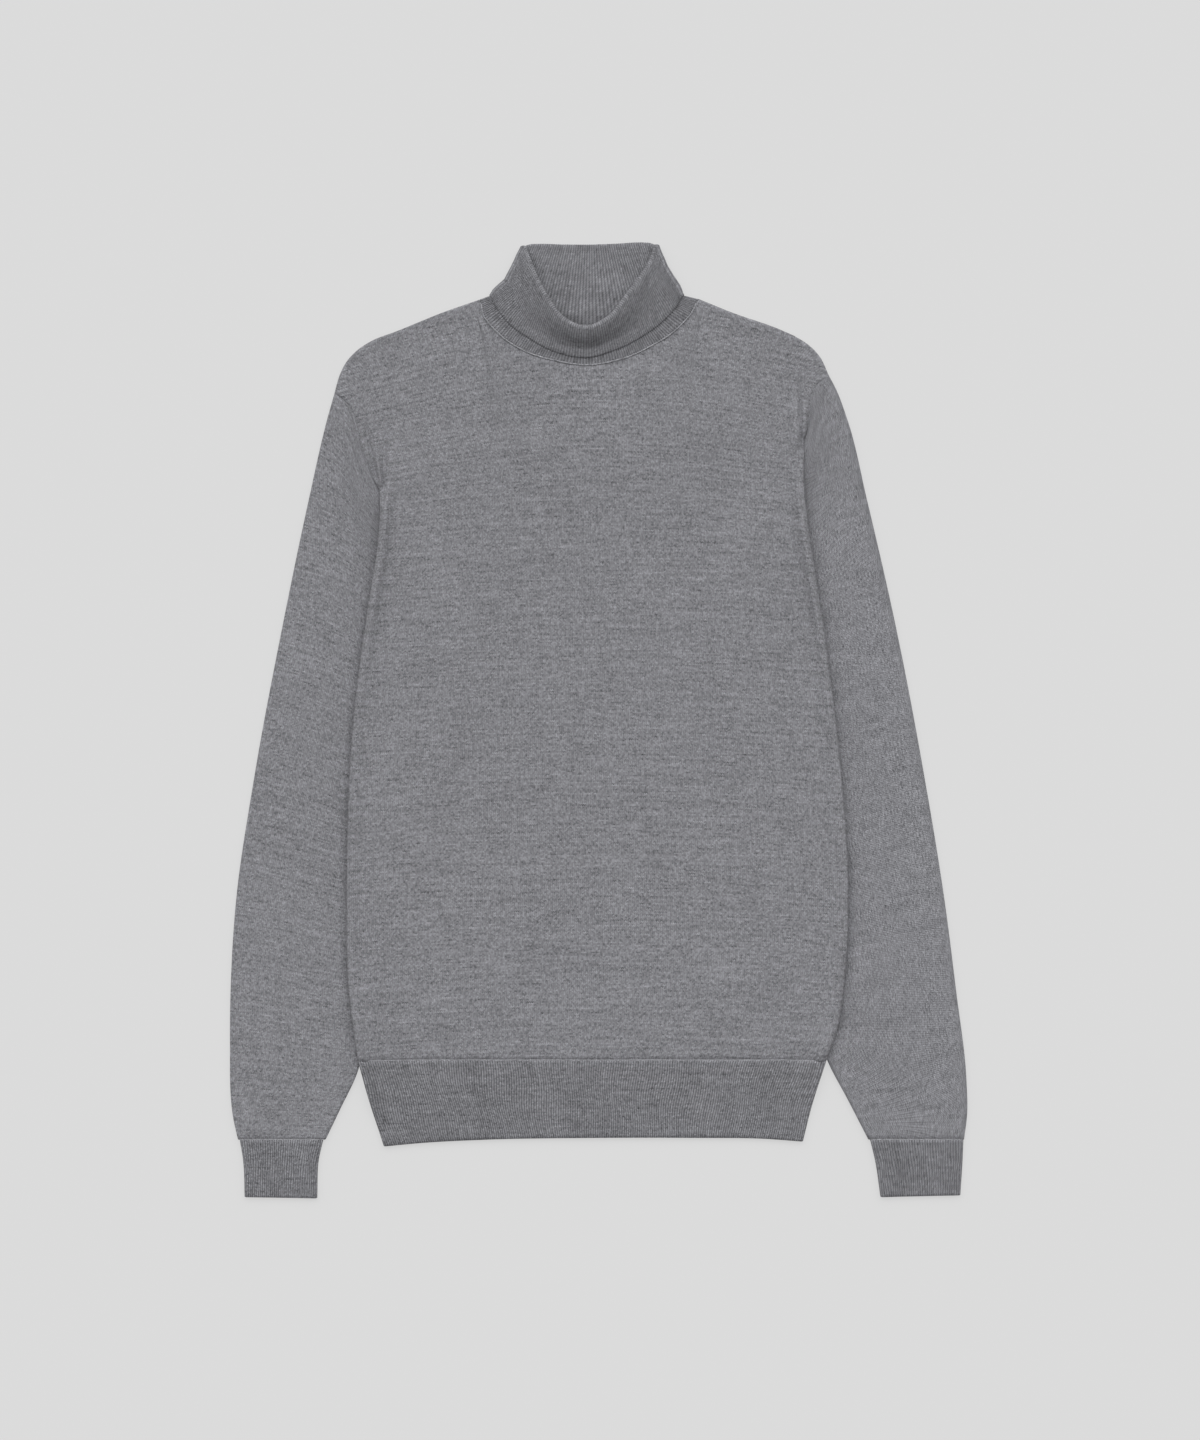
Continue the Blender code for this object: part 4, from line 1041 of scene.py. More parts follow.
@dataclass(frozen=True)
class BodyPanel:
    """The front or the back of the body, in plain knit, from the hem rib to the shoulders."""

    name: str
    layer: Layer
    stations: tuple[CollarRib, ...]
    rests_on: tuple[str, ...]
    steps: tuple[float, ...]
    columns: tuple[int, ...]
    side_rows: int
    yoke_rows: int
    origin: Pair
    creases: tuple[Crease, ...] = ()
    neck_shares: Pair = (0.292, 0.739)
    neck_splay: float = 0.4
    shoulder_end: float = 0.2
    band: float = 9.0
    band_depths: tuple[float, ...] = (7.5, 6.0, 4.6, 3.4, 2.4, 1.6, 0.9, 0.4, 0.0)
    least_z: float = 0.1
    least_wall: float = 0.6
    knit_width: float = 400.0
    arch: Pair = (7.0, 26.0)  # how far the courses arch at arch_half: low down, and what is added
    arch_rise: Pair = (90.0, 190.0)  # the height that it is added from, and over what height
    arch_half: float = 200.0
    flat: Pair = (0.405, 0.63)
    area: float = 0.228

    def head(self, neck: Points, share: Points) -> Points:
        """Plan points of the upper border: shoulder, neck and shoulder.

        Args:
            neck: the neck edge.
            share: the shares asked for, from left to right.

        Returns:
            The points.
        """
        low, high = self.neck_shares
        neck_at = low + (high - low) * lengths(neck) / lengths(neck)[-1]
        left = part_of(OUTER[Side.LEFT], EDGES[Side.LEFT].armhole[0], LEFT_OUTER[0])
        right = part_of(OUTER[Side.RIGHT], RIGHT_OUTER[0], EDGES[Side.RIGHT].armhole[0])
        on_neck = np.stack([np.interp(share, neck_at, values) for values in neck.T], axis=-1)
        on_left = along(left, np.clip(share / low, 0.0, 1.0))
        on_right = along(right, np.clip((share - high) / (1.0 - high), 0.0, 1.0))
        head = np.where((share < low)[:, None], on_left, on_neck)
        return np.where((share > high)[:, None], on_right, head)

    def below_head(self, neck: Points, share: Points, depth: float, ends: Points) -> Points:
        """A row that follows the upper border, a distance down it.

        Args:
            neck: the neck edge.
            share: the columns' shares.
            depth: the distance.
            ends: the row's two ends.

        Returns:
            The row's plan points.
        """
        at_left = smooth(1.0 - share / self.shoulder_end)[:, None]
        at_right = smooth(1.0 - (1.0 - share) / self.shoulder_end)[:, None]
        lean = np.interp(share, self.neck_shares, (-self.neck_splay, self.neck_splay))
        down = depth * np.column_stack([lean, np.full(len(share), -1.0)])
        head_ends = self.head(neck, np.array([0.0, 1.0]))
        row = self.head(neck, share) + (1.0 - at_left - at_right) * down
        return row + at_left * (ends[0] - head_ends[0]) + at_right * (ends[1] - head_ends[1])

    def shares_of(self, left: Points, right: Points) -> Points:
        """The columns' shares on a row between two ends."""
        return spread(np.linalg.norm(right - left), self.neck_shares, self.columns, self.steps)

    def plan(self) -> tuple[Points, Points]:
        """Plan points of every row and column, from the hem seam to the shoulders.

        Returns:
            The points, and the columns' shares on each row.
        """
        neck = neck_edge(self.stations)
        rows, shares = [], []
        folds = [along(EDGES[side].side[::-1], np.linspace(0, 1, self.side_rows)) for side in Side]
        for left, right in zip(*folds):
            shares.append(self.shares_of(left, right))
            a = shares[-1][:, None]
            rows.append((1.0 - a) * left + a * right)
        armholes = [EDGES[side].armhole[::-1] for side in Side]
        yoke_at = [1.0 - self.band / lengths(edge)[-1] for edge in armholes]
        yoke = [along(edge, at) for edge, at in zip(armholes, yoke_at)]
        for up in np.linspace(0.0, 1.0, self.yoke_rows + 1)[1:]:
            left, right = (along(edge, up * at) for edge, at in zip(armholes, yoke_at))
            shares.append(self.shares_of(left, right))
            a = shares[-1][:, None]
            foot = (1.0 - a) * armholes[0][0] + a * armholes[1][0]
            head = self.below_head(neck, shares[-1], self.band, yoke)
            rows.append(coons_row(foot, head, left, right, shares[-1], up))
        for depth in self.band_depths:
            ends = [along(edge, 1.0 - depth / lengths(edge)[-1]) for edge in armholes]
            shares.append(self.shares_of(*ends))
            rows.append(self.below_head(neck, shares[-1], depth, ends))
        return np.array(rows), np.array(shares)

    def build(self, wardrobe: Wardrobe) -> bpy.types.Object:
        """Makes and dresses the panel.

        Args:
            wardrobe: the wools.

        Returns:
            The piece.
        """
        plan, shares = self.plan()
        flat = plan.reshape(-1, 2)
        faces = laid(flat, BODY_FOLDS, JERSEY_WALL, self.layer, lift_over_sleeves(flat))
        added = relief(self.creases, flat)
        for side in Side if self.layer is Layer.UPPER else ():
            added += ARMHOLE_SEAM.relief(flat, EDGES[side].armhole)
            added += SIDE_RIDGE.relief(flat, EDGES[side].side)
            added += UNDERARM_RIDGE.relief(flat, EDGES[side].side)
        added *= faces.rise
        outer, inner = faces.outer, faces.inner
        inner[:, 2] = np.maximum(inner[:, 2] + added, np.minimum(inner[:, 2], self.least_z))
        outer[:, 2] = np.maximum(outer[:, 2] + added, inner[:, 2] + self.least_wall * faces.rise)
        x, y = plan[..., 0], plan[..., 1]
        arch = self.arch[0] + self.arch[1] * smooth((y - self.arch_rise[0]) / self.arch_rise[1])
        courses = y + arch * (x / self.arch_half) ** 2
        knit = knit_place((shares - 0.5) * self.knit_width, courses, self.origin)
        shape = (*plan.shape[:2], 3)
        shell = Shell(f"{self.name}_knit", outer.reshape(shape), inner.reshape(shape), knit)
        cloth = Cloth(Knit.JERSEY, self.flat, self.area, self.rests_on)
        return cloth.declare(shell, wardrobe.jersey, self.name)


@dataclass(frozen=True)
class HemRib:
    """A band of 1x1 rib at the foot of the front or the back."""

    name: str
    layer: Layer
    rests_on: tuple[str, ...]
    samples: int
    rows: int
    origin: Pair
    ribs: int = 192
    raised: float = 0.45
    sway: tuple[float, float, float] = (0.8, 5.0, 19.0)  # in ribs, and its radians up and across
    flat: Pair = (0.37, 0.068)
    area: float = 0.0247

    def build(self, wardrobe: Wardrobe) -> bpy.types.Object:
        """Makes and dresses the band, its ribs raised where they show.

        Args:
            wardrobe: the wools.

        Returns:
            The piece.
        """
        keys = np.linspace(0.0, 1.0, self.samples * self.ribs + 1)
        ups = np.linspace(0.0, 1.0, self.rows)
        foot = along(spline(HEM_FOOT, SIDE_SAMPLES), keys)
        head = along(np.array([LEFT_SIDE[-1], RIGHT_SIDE[-1]]), keys)
        left, right = (along(EDGES[side].hem[::-1], ups) for side in Side)
        plan = np.array(
            [coons_row(foot, head, left[row], right[row], keys, up) for row, up in enumerate(ups)]
        )
        flat = plan.reshape(-1, 2)
        faces = laid(flat, BODY_FOLDS, RIB_WALL, self.layer, lift_over_sleeves(flat))
        across, up = np.tile(keys, len(ups)), np.repeat(ups, len(keys))
        reach, wave_up, wave_across = self.sway
        sway = reach * np.sin(wave_up * up + wave_across * across) * np.sin(np.pi * up)
        phase = self.ribs * across + sway
        if self.layer is Layer.UPPER:
            faces.outer[:, 2] += self.raised * ridged(phase) * faces.rise
        knit = knit_place((RIB_WALE * phase).reshape(plan.shape[:2]), plan[..., 1], self.origin)
        shape = (*plan.shape[:2], 3)
        outer, inner = faces.outer.reshape(shape), faces.inner.reshape(shape)
        shell = Shell(f"{self.name}_knit", outer, inner, knit)
        cloth = Cloth(Knit.RIB, self.flat, self.area, self.rests_on)
        return cloth.declare(shell, wardrobe.rib, self.name)


@dataclass(frozen=True)
class Sleeve:
    """A flattened sleeve tube from the armhole seam to the cuff, in plain knit."""

    side: Side
    origin: Pair
    columns: int = 44
    rows: int = 150
    first_rows: tuple[float, ...] = (0.0, 0.001, 0.0025)  # shares of the way down
    rows_start: float = 0.005
    least_lining: float = 1.25
    least_wall: float = 0.45
    flat: Pair = (0.26, 0.62)
    area: float = 0.13

    def build(self, wardrobe: Wardrobe) -> bpy.types.Object:
        """Makes and dresses the sleeve.

        Args:
            wardrobe: the wools.

        Returns:
            The piece.
        """
        name, edges, inner_edge = f"{self.side.value}_sleeve", EDGES[self.side], INNER[self.side]
        armhole = edges.armhole[::-1]
        outer_edge = part_of(OUTER[self.side], armhole[-1], OUTER[self.side][-1])
        down = np.array([*self.first_rows, *np.linspace(self.rows_start, 1.0, self.rows)])
        at_inner, at_outer = along(inner_edge, down), along(outer_edge, down)
        wrist = np.array([inner_edge[-1], outer_edge[-1]])
        widths = np.linalg.norm(at_outer - at_inner, axis=1)
        widths[0] = lengths(armhole)[-1]
        shares = np.array([spread(width, (), (self.columns,)) for width in widths])
        plan = np.array(
            [
                coons_row(along(armhole, a), along(wrist, a), at_inner[row], at_outer[row], a, b)
                for row, (a, b) in enumerate(zip(shares, down))
            ]
        )
        folds = [INNER_FOLDS[self.side], OUTER_FOLDS[self.side]]
        outer, inner, rise = ring(plan, folds, JERSEY_WALL)
        low, top = plan.reshape(-1, 2), plan.shape[1]
        added = ARMHOLE_SEAM.relief(low, edges.armhole) + SIDE_TUCK.relief(low, edges.side)
        added = added.reshape(plan.shape[:2]) * rise[:, :top]
        lining = inner[:, :top, 2]
        inner[:, :top, 2] = np.maximum(lining + added, np.minimum(lining, self.least_lining))
        least = inner[:, :top, 2] + self.least_wall * rise[:, :top]
        outer[:, :top, 2] = np.maximum(outer[:, :top, 2] + added, least)
        wide = (shares - 0.5) * widths[:, None]
        wide[0] = wide[1]
        back_again = (widths[:, None] - wide[:, ::-1])[:, 1:]
        courses = -down[:, None] * lengths(outer_edge)[-1]
        knit = knit_place(np.concatenate([wide, back_again], axis=1), courses, self.origin)
        shell = Shell(f"{name}_knit", outer, inner, knit, tube=True)
        cloth = Cloth(Knit.JERSEY, self.flat, self.area, ("floor",))
        return cloth.declare(shell, wardrobe.jersey, name)


@dataclass(frozen=True)
class Cuff:
    """A flattened tube of 1x1 rib at the end of a sleeve."""

    side: Side
    outer_edge: Pairs
    inner_edge: Pairs
    origin: Pair
    ribs: int = 36
    samples: int = 6
    rows: int = 22
    raised: float = 0.45
    sway: tuple[float, float, float] = (0.3, 7.0, 30.0)  # in ribs, and its radians down and around
    flat: Pair = (0.138, 0.047)
    area: float = 0.0062

    def build(self, wardrobe: Wardrobe) -> bpy.types.Object:
        """Makes and dresses the cuff, its ribs raised on top.

        Args:
            wardrobe: the wools.

        Returns:
            The piece.
        """
        name, sign = f"{self.side.value}_cuff_rib", self.side.inward
        outer_edge, inner_edge = (
            spline(points, CUFF_SAMPLES) for points in (self.outer_edge, self.inner_edge)
        )
        seam = unit(inner_edge[0] - outer_edge[0])
        folds = [Fold(inner_edge, -sign, -seam), Fold(outer_edge, sign, seam)]
        keys = np.linspace(0.0, 1.0, self.samples * self.ribs + 1)
        downs = np.linspace(0.0, 1.0, self.rows)
        across, down = np.meshgrid(keys, downs)
        at_inner, at_outer = along(inner_edge, down), along(outer_edge, down)
        plan = (1.0 - across[..., None]) * at_inner + across[..., None] * at_outer
        outer, inner, rise = ring(plan, folds, RIB_WALL)
        around, downs = np.concatenate([keys, 2.0 - keys[-2:0:-1]]), downs[:, None]
        reach, wave_down, wave_around = self.sway
        sway = reach * np.sin(wave_down * downs + wave_around * around) * np.sin(np.pi * downs)
        phase = self.ribs * around + sway * rise
        ridge = self.raised * ridged(phase) * rise
        outer[:, : len(keys), 2] += ridge[:, : len(keys)]
        end = np.full((self.rows, 1), 2.0 * self.ribs)
        wales = RIB_WALE * np.concatenate([phase, end], axis=1)
        knit = knit_place(wales, -downs * lengths(outer_edge)[-1], self.origin)
        shell = Shell(f"{name}_knit", outer, inner, knit, tube=True)
        cloth = Cloth(Knit.RIB, self.flat, self.area, ("floor",))
        return cloth.declare(shell, wardrobe.rib, name)


@dataclass(frozen=True)
class Collar:
    """The ribbed collar: stand, crest and turnover in one wall, laid flat with its front low."""

    origin: Pair
    pitch: float = 1.8
    samples: int = 4
    ply_half: float = 0.9  # from the middle of the folded wall to the middle of either ply
    shows: float = 0.16  # share of the way to the crest that lies below the turnover's free edge
    levels: int = 35
    fold_samples: int = 16
    roll_end: float = 0.4
    climb_start: float = 0.27
    climb_ease: float = 0.75
    crest_wide: float = 0.13  # share of the turnover that its crest takes at the front's middle
    crest_low: float = 6.0
    crest_rise: float = 8.0
    crest_angles: int = 9
    raised: float = 0.45
    raised_behind: float = 0.22
    roll: float = 1.5  # how much thicker the crest is at the front's middle
    roll_reach: float = 0.1
    roll_inside: float = 0.6
    edge_thin: float = 0.55
    edge_reach: float = 0.07
    facing: tuple[float, float, float] = (65.0, 42.0, 6.0)
    turn_start: float = 0.1  # how far up a face looks where its ribs start to rise
    turn_reach: float = 0.4
    course_steps: Pair = (1.6, 0.5)  # a level's courses, and a step's round the crest
    drawn_left: Pairs = (
        (0.0, 0.0), (0.1, 0.6), (0.29, 5.4), (0.5, 4.4), (0.7, 3.0), (0.85, 1.2), (1.0, 0.0),
    )  # how far the left side draws in, by share of the way from the free edge to the crest
    drawn_right: Pairs = ((0.0, 0.0), (0.15, 0.0), (0.35, 2.0), (0.55, 2.8), (0.8, 1.6), (1.0, 0.0))
    drawn_reach: float = 26.0
    corner: float = 1.7  # how far the crest's two ends drop, to round the collar's top corners
    corner_reach: float = 8.0
    corner_start: float = 0.75
    folds_behind: tuple[Crease, ...] = (
        Crease((-44.0, 380.0), (24.0, 336.0), 10.0, 0.7, 3.0),
        Crease((-52.0, 366.0), (-8.0, 330.0), 7.0, -0.5, -2.0),
        Crease((-6.0, 386.0), (44.0, 352.0), 8.0, -0.6, 2.0),
    )
    flat: Pair = (0.36, 0.125)
    area: float = 0.036

    def half(self, stations: tuple[CollarRib, ...]) -> Points:
        """The folded collar's middle along a row of stations.

        Args:
            stations: the stations.

        Returns:
            Points by level and column.
        """
        run = lengths(np.array(stations)[:, 4:6])[-1]
        count = int(run / self.pitch) * self.samples + 1
        at = hermite(collar_run(stations), np.array(stations), np.linspace(0.0, 1.0, count))
        seam, edge, crest = at[:, 0:2], at[:, 2:4], at[:, 4:6]
        seam_z, edge_z, middle_z, crest_z = at[:, 6:10].T
        climb_end = 1.0 - self.crest_wide * smooth((crest_z - self.crest_low) / self.crest_rise)
        levels = []
        for level in np.linspace(0.0, 1.0, self.levels):
            below = min(level / self.shows, 1.0)
            up = max((level - self.shows) / (1.0 - self.shows), 0.0)
            plan = seam + (edge - seam) * below + (crest - edge) * up
            roll = 1.0 - (1.0 - min(up / self.roll_end, 1.0)) ** 2
            climb = np.clip((up - self.climb_start) / (climb_end - self.climb_start), 0.0, 1.0)
            climb = climb + self.climb_ease * (smooth(climb) - climb)
            height = seam_z + (edge_z - seam_z) * smooth(below)
            height = height + (middle_z - edge_z) * roll + (crest_z - middle_z) * climb
            levels.append(np.column_stack([plan, height]))
        return np.array(levels)

    def fold(self, start: Points, end: Points, mirror: float) -> Points:
        """Half rounds that join the front and the back of the collar's middle.

        Args:
            start: the points that they start at, one for each level.
            end: the points that they end at.
            mirror: the way along X that they bulge.

        Returns:
            Points by level and column.
        """
        angle = np.linspace(0.0, np.pi, self.fold_samples + 2)[1:-1, None]
        folds = []
        for level, first, last in zip(np.linspace(0.0, 1.0, self.levels), start, end):
            facing = np.radians(np.interp(level, (0.0, self.shows, 1.0), self.facing))
            way = np.array([mirror * np.cos(facing), np.sin(facing), 0.0])
            middle, reach = (first + last) / 2.0, (first - last) / 2.0
            radius = np.linalg.norm(reach)
            folds.append(middle + reach * np.cos(angle) + way * radius * np.sin(angle))
        return np.array(folds)

    def shape_sides(self, middle: Points) -> None:
        """Draws the sides in between free edge and crest, and drops the two top corners.

        Args:
            middle: the folded wall's middle, by level and column, which is changed.
        """
        shares = np.linspace(0.0, 1.0, self.levels)
        up = np.clip((shares - self.shows) / (1.0 - self.shows), 0.0, 1.0)
        left, right = (
            np.interp(up, *zip(*table))[:, None] for table in (self.drawn_left, self.drawn_right)
        )
        x = middle[..., 0]
        from_left, from_right = x - x.min(axis=1, keepdims=True), x.max(axis=1, keepdims=True) - x
        moved = left * smooth(1.0 - from_left / self.drawn_reach)
        middle[..., 0] += moved - right * smooth(1.0 - from_right / self.drawn_reach)
        low, high = x.min(axis=1, keepdims=True), x.max(axis=1, keepdims=True)
        corner = smooth(1.0 - np.minimum(x - low, high - x) / self.corner_reach)
        top = smooth((shares - self.corner_start) / (1.0 - self.corner_start))
        middle[..., 1] -= self.corner * top[:, None] * corner

    def middle(self) -> tuple[Points, list[int]]:
        """The middle of the folded wall, all round.

        Returns:
            Points by level and column, and the counts of columns in the front, the right fold,
            the back and the left fold.
        """
        front, back = self.half(COLLAR_FRONT), self.half(COLLAR_BACK)
        right_fold = self.fold(front[:, -1], back[:, 0], 1.0)
        left_fold = self.fold(back[:, -1], front[:, 0], -1.0)
        middle = np.concatenate([front, right_fold, back, left_fold], axis=1)
        self.shape_sides(middle)
        behind = slice(front.shape[1] + self.fold_samples, -self.fold_samples)
        plan = middle[:, behind, :2].reshape(-1, 2)
        middle[:, behind, 2] += relief(self.folds_behind, plan).reshape(self.levels, -1)
        return middle, [front.shape[1], self.fold_samples, back.shape[1], self.fold_samples]

    def build(self, wardrobe: Wardrobe) -> bpy.types.Object:
        """Makes and dresses the collar, ribbed on every face that looks up.

        Args:
            wardrobe: the wools.

        Returns:
            The piece.
        """
        middle, counts = self.middle()
        around = np.roll(middle, -1, axis=1) - np.roll(middle, 1, axis=1)
        upward = np.gradient(middle, axis=0)
        upward[0, :, 2] = 0.0
        out = unit(np.cross(around, upward))
        ahead = unit(np.cross(out, around))
        phase = np.concatenate([np.arange(count) for count in counts]) / self.samples
        raised = np.repeat([self.raised, self.raised, self.raised_behind, self.raised], counts)
        ridge = raised * ridged(phase)
        shares = np.linspace(0.0, 1.0, self.levels)
        top, edge_level = self.levels - 1, round(self.shows * (self.levels - 1))
        high = smooth((middle[top, :, 2] - self.crest_low) / self.crest_rise)
        quarter = np.pi / 2.0
        route = [(level, -quarter) for level in range(top)]
        route += [(top, angle) for angle in np.linspace(-quarter, quarter, self.crest_angles)]
        route += [(level, quarter) for level in range(top - 1, edge_level - 1, -1)]
        outer, inner, courses = [], [], [0.0]
        for level, angle in route:
            normal = np.sin(angle) * out[level] + np.cos(angle) * ahead[level]
            looks_up = smooth((normal[:, 2] - self.turn_start) / self.turn_reach)
            looks_down = smooth((-normal[:, 2] - self.turn_start) / self.turn_reach)
            roll = self.roll * high * np.exp(-(((1.0 - shares[level]) / self.roll_reach) ** 2))
            skin = self.ply_half + RIB_WALL / 2.0 + ridge * looks_up + roll
            if angle > 0.0:
                thin = np.exp(-(shares[level] - self.shows) / self.edge_reach)
                skin = skin - self.edge_thin * thin
            outer.append(middle[level] + normal * skin[:, None])
            outer[-1][:, 2] = np.maximum(outer[-1][:, 2], 0.0)
            strip = ridge * (looks_down * (level <= edge_level))
            lining = self.ply_half - RIB_WALL / 2.0 - strip + self.roll_inside * roll
            inner.append(middle[level] + normal * lining[:, None])
            courses.append(courses[-1] + self.course_steps[level == top])
        wales = np.arange(len(phase) + 1) * RIB_WALE / self.samples
        knit = knit_place(wales, np.array(courses[:-1])[:, None], self.origin)
        shell = Shell("collar_knit", np.array(outer), np.array(inner), knit, tube=True)
        cloth = Cloth(Knit.RIB, self.flat, self.area, ("front_panel", "back_panel"))
        return cloth.declare(shell, wardrobe.collar, "collar")


@dataclass(frozen=True)
class Linking:
    """A row of linking loops that joins two pieces, as a fine beaded chain along their seam."""

    name: str
    path: Points
    radius: float
    loop: float = 1.8
    samples: int = 6
    around: int = 8
    stout: float = 0.3
    hollow: float = 0.5
    taper: float = 2.0  # samples over which an end narrows, down to its point
    point: float = 0.15
    lip: float = 0.1

    def build(self, wardrobe: Wardrobe) -> bpy.types.Object:
        """Makes and dresses the chain.

        Args:
            wardrobe: the wools.

        Returns:
            The piece.
        """
        count = int(lengths(self.path)[-1] / self.loop) * self.samples + 1
        line = along(self.path, np.linspace(0.0, 1.0, count))
        ahead = unit(np.gradient(line, axis=0))
        side = unit(np.column_stack([turned(ahead[:, :2]), np.zeros(count)]))
        up = np.cross(ahead, side)
        steps = np.arange(count)
        beads = np.abs(np.sin(np.pi * steps / self.samples))
        reach = self.radius * (1.0 - self.stout + self.stout * beads)
        ends = np.minimum(steps, steps[::-1])
        reach = reach * np.clip(ends / self.taper, self.point, 1.0)
        angle = np.linspace(0.0, 2.0 * np.pi, self.around + 1)[:-1, None]
        sweep = side[:, None] * np.cos(angle) + up[:, None] * np.sin(angle)
        skins = [
            line[:, None] + sweep * reach[:, None, None] * share for share in (1.0, self.hollow)
        ]
        wales = np.linspace(0.0, 2.0 * self.loop, self.around + 1)
        knit = knit_place(wales, (steps * self.loop / self.samples)[:, None], (0.0, 0.0))
        piece = Shell(self.name, *skins, knit, tube=True, lip=self.lip).build()
        piece.data.materials.append(wardrobe.chain)
        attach(piece, BODY)
        LOG.info("%s: %d triangles", piece.name, 2 * len(piece.data.polygons))
        return piece


# Samples, radius and how deep each row of linking sinks below the face of ribbed cloth
NECK_ROW = (200, 0.7)
NECK_SPAN = (0.015, 0.985)
NECK_RAISE = 0.1
HEM_ROW = (240, 0.55, 0.35)
CUFF_ROW = (60, 0.5, 0.35)
ARMHOLE_ENDS = slice(3, -6)
ARMHOLE_SINK = (1.2, 2.7)
ARMHOLE_RADIUS = 0.5


def on_cloth(
    plan: Points, folds: list[Fold], sink: Points | float, lift: Points | float = 0.0
) -> Points:
    """A seam on the upper face of ribbed cloth, sunk a little into it.

    Args:
        plan: plan points along it.
        folds: the cloth's folds.
        sink: how deep it sinks.
        lift: height of what lies under the cloth.

    Returns:
        The seam's points.
    """
    face = laid(plan, folds, RIB_WALL, Layer.UPPER, lift).outer
    face[:, 2] -= sink
    return face


def linkings() -> list[Linking]:
    """The linking rows that show: round the neck, along the hem, at the cuffs and the armholes.

    Returns:
        The rows.
    """
    samples, radius = NECK_ROW
    stations = np.linspace(*NECK_SPAN, samples)
    at = hermite(collar_run(COLLAR_FRONT), np.array(COLLAR_FRONT), stations)
    neck = np.column_stack([at[:, 0:2], at[:, 6] + NECK_RAISE])
    rows = [Linking("neck_linking", neck, radius)]
    samples, radius, sink = HEM_ROW
    line = np.linspace(LEFT_SIDE[-1], RIGHT_SIDE[-1], samples)[1:-1]
    hem = on_cloth(line, BODY_FOLDS, sink, lift_over_sleeves(line))
    rows.append(Linking("hem_linking", hem, radius))
    samples, radius, sink = CUFF_ROW
    for side in Side:
        wrist = np.linspace(OUTER[side][-1], INNER[side][-1], samples)[1:-1]
        cuff = on_cloth(wrist, [INNER_FOLDS[side], OUTER_FOLDS[side]], sink)
        rows.append(Linking(f"{side.value}_cuff_linking", cuff, radius))
        armhole = ARMHOLE[side][ARMHOLE_ENDS]
        seam = on_cloth(armhole, BODY_FOLDS, np.linspace(*ARMHOLE_SINK, len(armhole)))
        rows.append(Linking(f"{side.value}_armhole_linking", seam, ARMHOLE_RADIUS))
    return rows


# ---- the studio ----


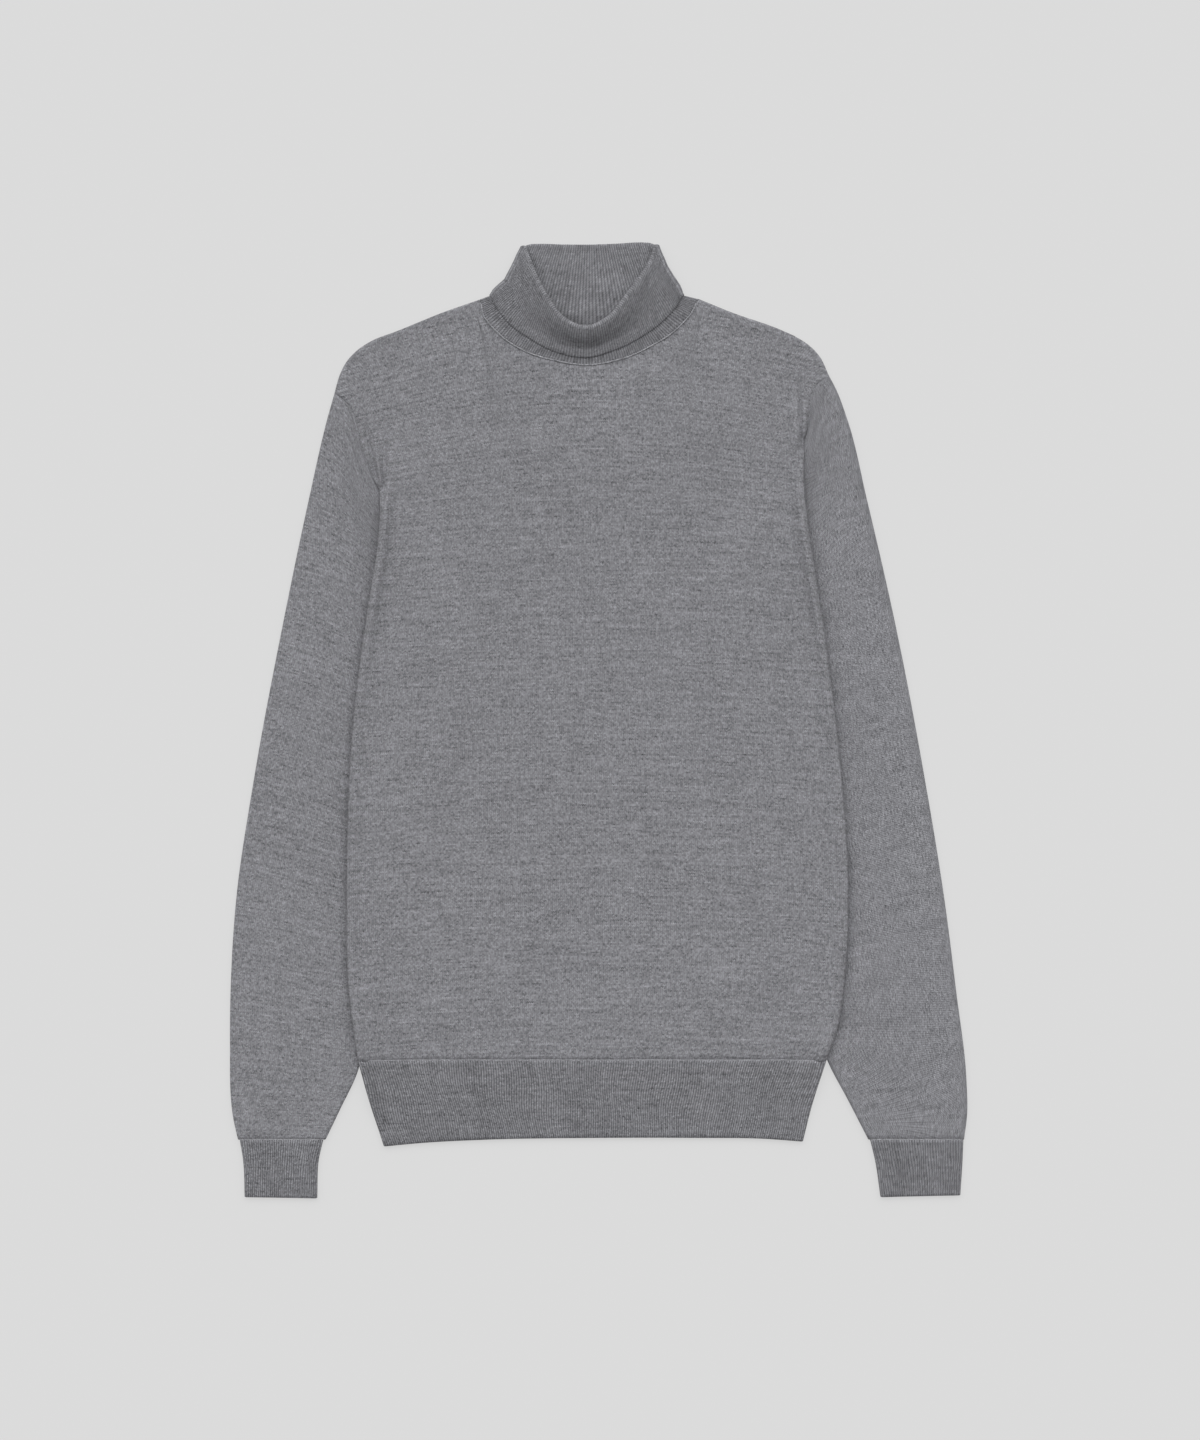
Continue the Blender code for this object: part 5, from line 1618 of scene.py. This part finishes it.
@dataclass(frozen=True)
class Studio:
    """A pale floor, soft light from the neck's side and a camera that looks straight down."""

    lens: float = 85.0
    sensor: float = 36.0
    clip_end: float = 50.0
    aim: Pair = (0.0012, -0.0004)
    framed: float = 1.1808
    floor_size: float = 9.0
    floor_drop: float = 0.0004
    floor_tint: float = 0.12
    floor_glow: float = 0.567
    tooth_scale: float = 900.0
    tooth_depth: float = 0.0002
    tooth_strength: float = 0.02
    fill: float = 0.31
    key: float = 3.45
    key_rise: float = 50.0  # degrees, as is its turn to the left of straight beyond the neck
    key_turn: float = 3.0
    key_width: float = 0.4
    key_ends: Pair = (0.32, 0.85)

    def build(self) -> None:
        """Makes the floor, the lights and the camera."""
        self.floor()
        self.lights()
        self.camera()

    def floor(self) -> None:
        """A wide matt sheet of pale card just under the cloth."""
        bpy.ops.object.select_all(action="DESELECT")
        place = (0.0, 0.0, -self.floor_drop)
        bpy.ops.mesh.primitive_plane_add(size=self.floor_size, location=place)
        floor = bpy.context.active_object
        floor.name = "floor"
        bpy.ops.object.transform_apply(location=True, rotation=True, scale=True)
        material = bpy.data.materials.new("pale_card")
        material.use_nodes = True
        graph = Graph(material.node_tree)
        at = graph.add("TexCoord").outputs["Object"]
        tooth = graph.add("TexNoise", Vector=at, Scale=self.tooth_scale, Detail=3.0).outputs[0]
        bump = graph.add(
            "Bump", Strength=self.tooth_strength, Distance=self.tooth_depth, Height=tooth
        )
        shader = material.node_tree.nodes["Principled BSDF"]
        material.node_tree.links.new(bump.outputs[0], shader.inputs["Normal"])
        tint = self.floor_tint
        shader.inputs["Base Color"].default_value = (tint, tint, tint, 1.0)
        shader.inputs["Roughness"].default_value = 1.0
        shader.inputs["Specular IOR Level"].default_value = 0.0
        shader.inputs["Emission Color"].default_value = (1.0, 1.0, 1.0, 1.0)
        shader.inputs["Emission Strength"].default_value = self.floor_glow
        floor.data.materials.append(material)

    def lights(self) -> None:
        """A wide soft strip light high beyond the neck, and an even fill from all round."""
        world = bpy.data.worlds.new("studio")
        bpy.context.scene.world = world
        world.use_nodes = True
        graph = Graph(world.node_tree)
        way = graph.add("TexCoord").outputs["Generated"]
        rise, turn = np.radians((self.key_rise, self.key_turn))
        level = np.array([-np.sin(turn), np.cos(turn), 0.0])
        upright = np.array([0.0, 0.0, 1.0])
        axes = (
            np.cos(rise) * level + np.sin(rise) * upright,
            np.cos(rise) * upright - np.sin(rise) * level,
        )
        ahead, over = (
            graph.add("VectorMath", {"operation": "DOT_PRODUCT"}, i0=way, i1=tuple(axis)).outputs[1]
            for axis in axes
        )
        across = graph.math("DIVIDE", over, self.key_width)
        across = graph.math("MULTIPLY", across, across)
        strip = graph.math("EXPONENT", graph.math("MULTIPLY", across, -1.0))
        reach = graph.add("MapRange", {"interpolation_type": "SMOOTHSTEP"}, Value=ahead)
        reach.inputs["From Min"].default_value = self.key_ends[0]
        reach.inputs["From Max"].default_value = self.key_ends[1]
        strip = graph.math("MULTIPLY", strip, reach.outputs[0])
        strength = graph.math("MULTIPLY_ADD", strip, self.key, self.fill)
        ground = world.node_tree.nodes["Background"]
        ground.inputs["Color"].default_value = (1.0, 1.0, 1.0, 1.0)
        world.node_tree.links.new(strength, ground.inputs["Strength"])

    def camera(self) -> None:
        """A long lens straight above the garment."""
        lens = bpy.data.cameras.new("camera")
        lens.lens = self.lens
        lens.sensor_width = self.sensor
        lens.sensor_fit = "AUTO"
        lens.clip_end = self.clip_end
        camera = bpy.data.objects.new("camera", lens)
        camera.location = (*self.aim, self.framed * self.lens / self.sensor)
        bpy.context.scene.collection.objects.link(camera)
        bpy.context.scene.camera = camera
        bpy.context.scene.view_settings.view_transform = "Standard"


# Where each piece starts on the knit's noise, far enough apart that no two share a pattern
ORIGINS = [(start, 0.0) for start in np.arange(900.0, 15301.0, 1800.0)]

BACK = BodyPanel(
    name="back_panel",
    layer=Layer.LOWER,
    stations=COLLAR_BACK,
    rests_on=("floor",),
    steps=EDGE_STEPS,
    columns=(22, 36, 22),
    side_rows=60,
    yoke_rows=24,
    origin=ORIGINS[1],
)
FRONT = BodyPanel(
    name="front_panel",
    layer=Layer.UPPER,
    stations=COLLAR_FRONT,
    rests_on=("back_panel", "left_sleeve", "right_sleeve"),
    steps=FINE_STEPS,
    columns=(42, 66, 42),
    side_rows=112,
    yoke_rows=46,
    origin=ORIGINS[0],
    creases=FRONT_CREASES,
)
PIECES = (
    BACK,
    FRONT,
    HemRib("back_hem_rib", Layer.LOWER, ("floor",), 2, 8, ORIGINS[2]),
    HemRib("front_hem_rib", Layer.UPPER, ("back_hem_rib",), 6, 24, ORIGINS[3]),
    Sleeve(Side.LEFT, ORIGINS[4]),
    Sleeve(Side.RIGHT, ORIGINS[5]),
    Cuff(
        Side.LEFT,
        outer_edge=((-294.0, -344.3), (-291.3, -361.0), (-290.0, -391.0)),
        inner_edge=((-225.5, -344.3), (-229.0, -359.5), (-230.5, -392.0)),
        origin=ORIGINS[6],
    ),
    Cuff(
        Side.RIGHT,
        outer_edge=((299.0, -344.3), (298.3, -361.0), (296.5, -389.5)),
        inner_edge=((222.5, -344.3), (226.5, -361.0), (231.0, -391.0)),
        origin=ORIGINS[7],
    ),
    Collar(ORIGINS[8]),
)


def main() -> None:
    """Builds the studio and the sweater, piece by piece."""
    logging.basicConfig(level=logging.INFO, format="%(name)s %(message)s")
    Studio().build()
    wardrobe = make_wardrobe()
    for piece in [*PIECES, *linkings()]:
        piece.build(wardrobe)


if __name__ == "__main__":
    main()
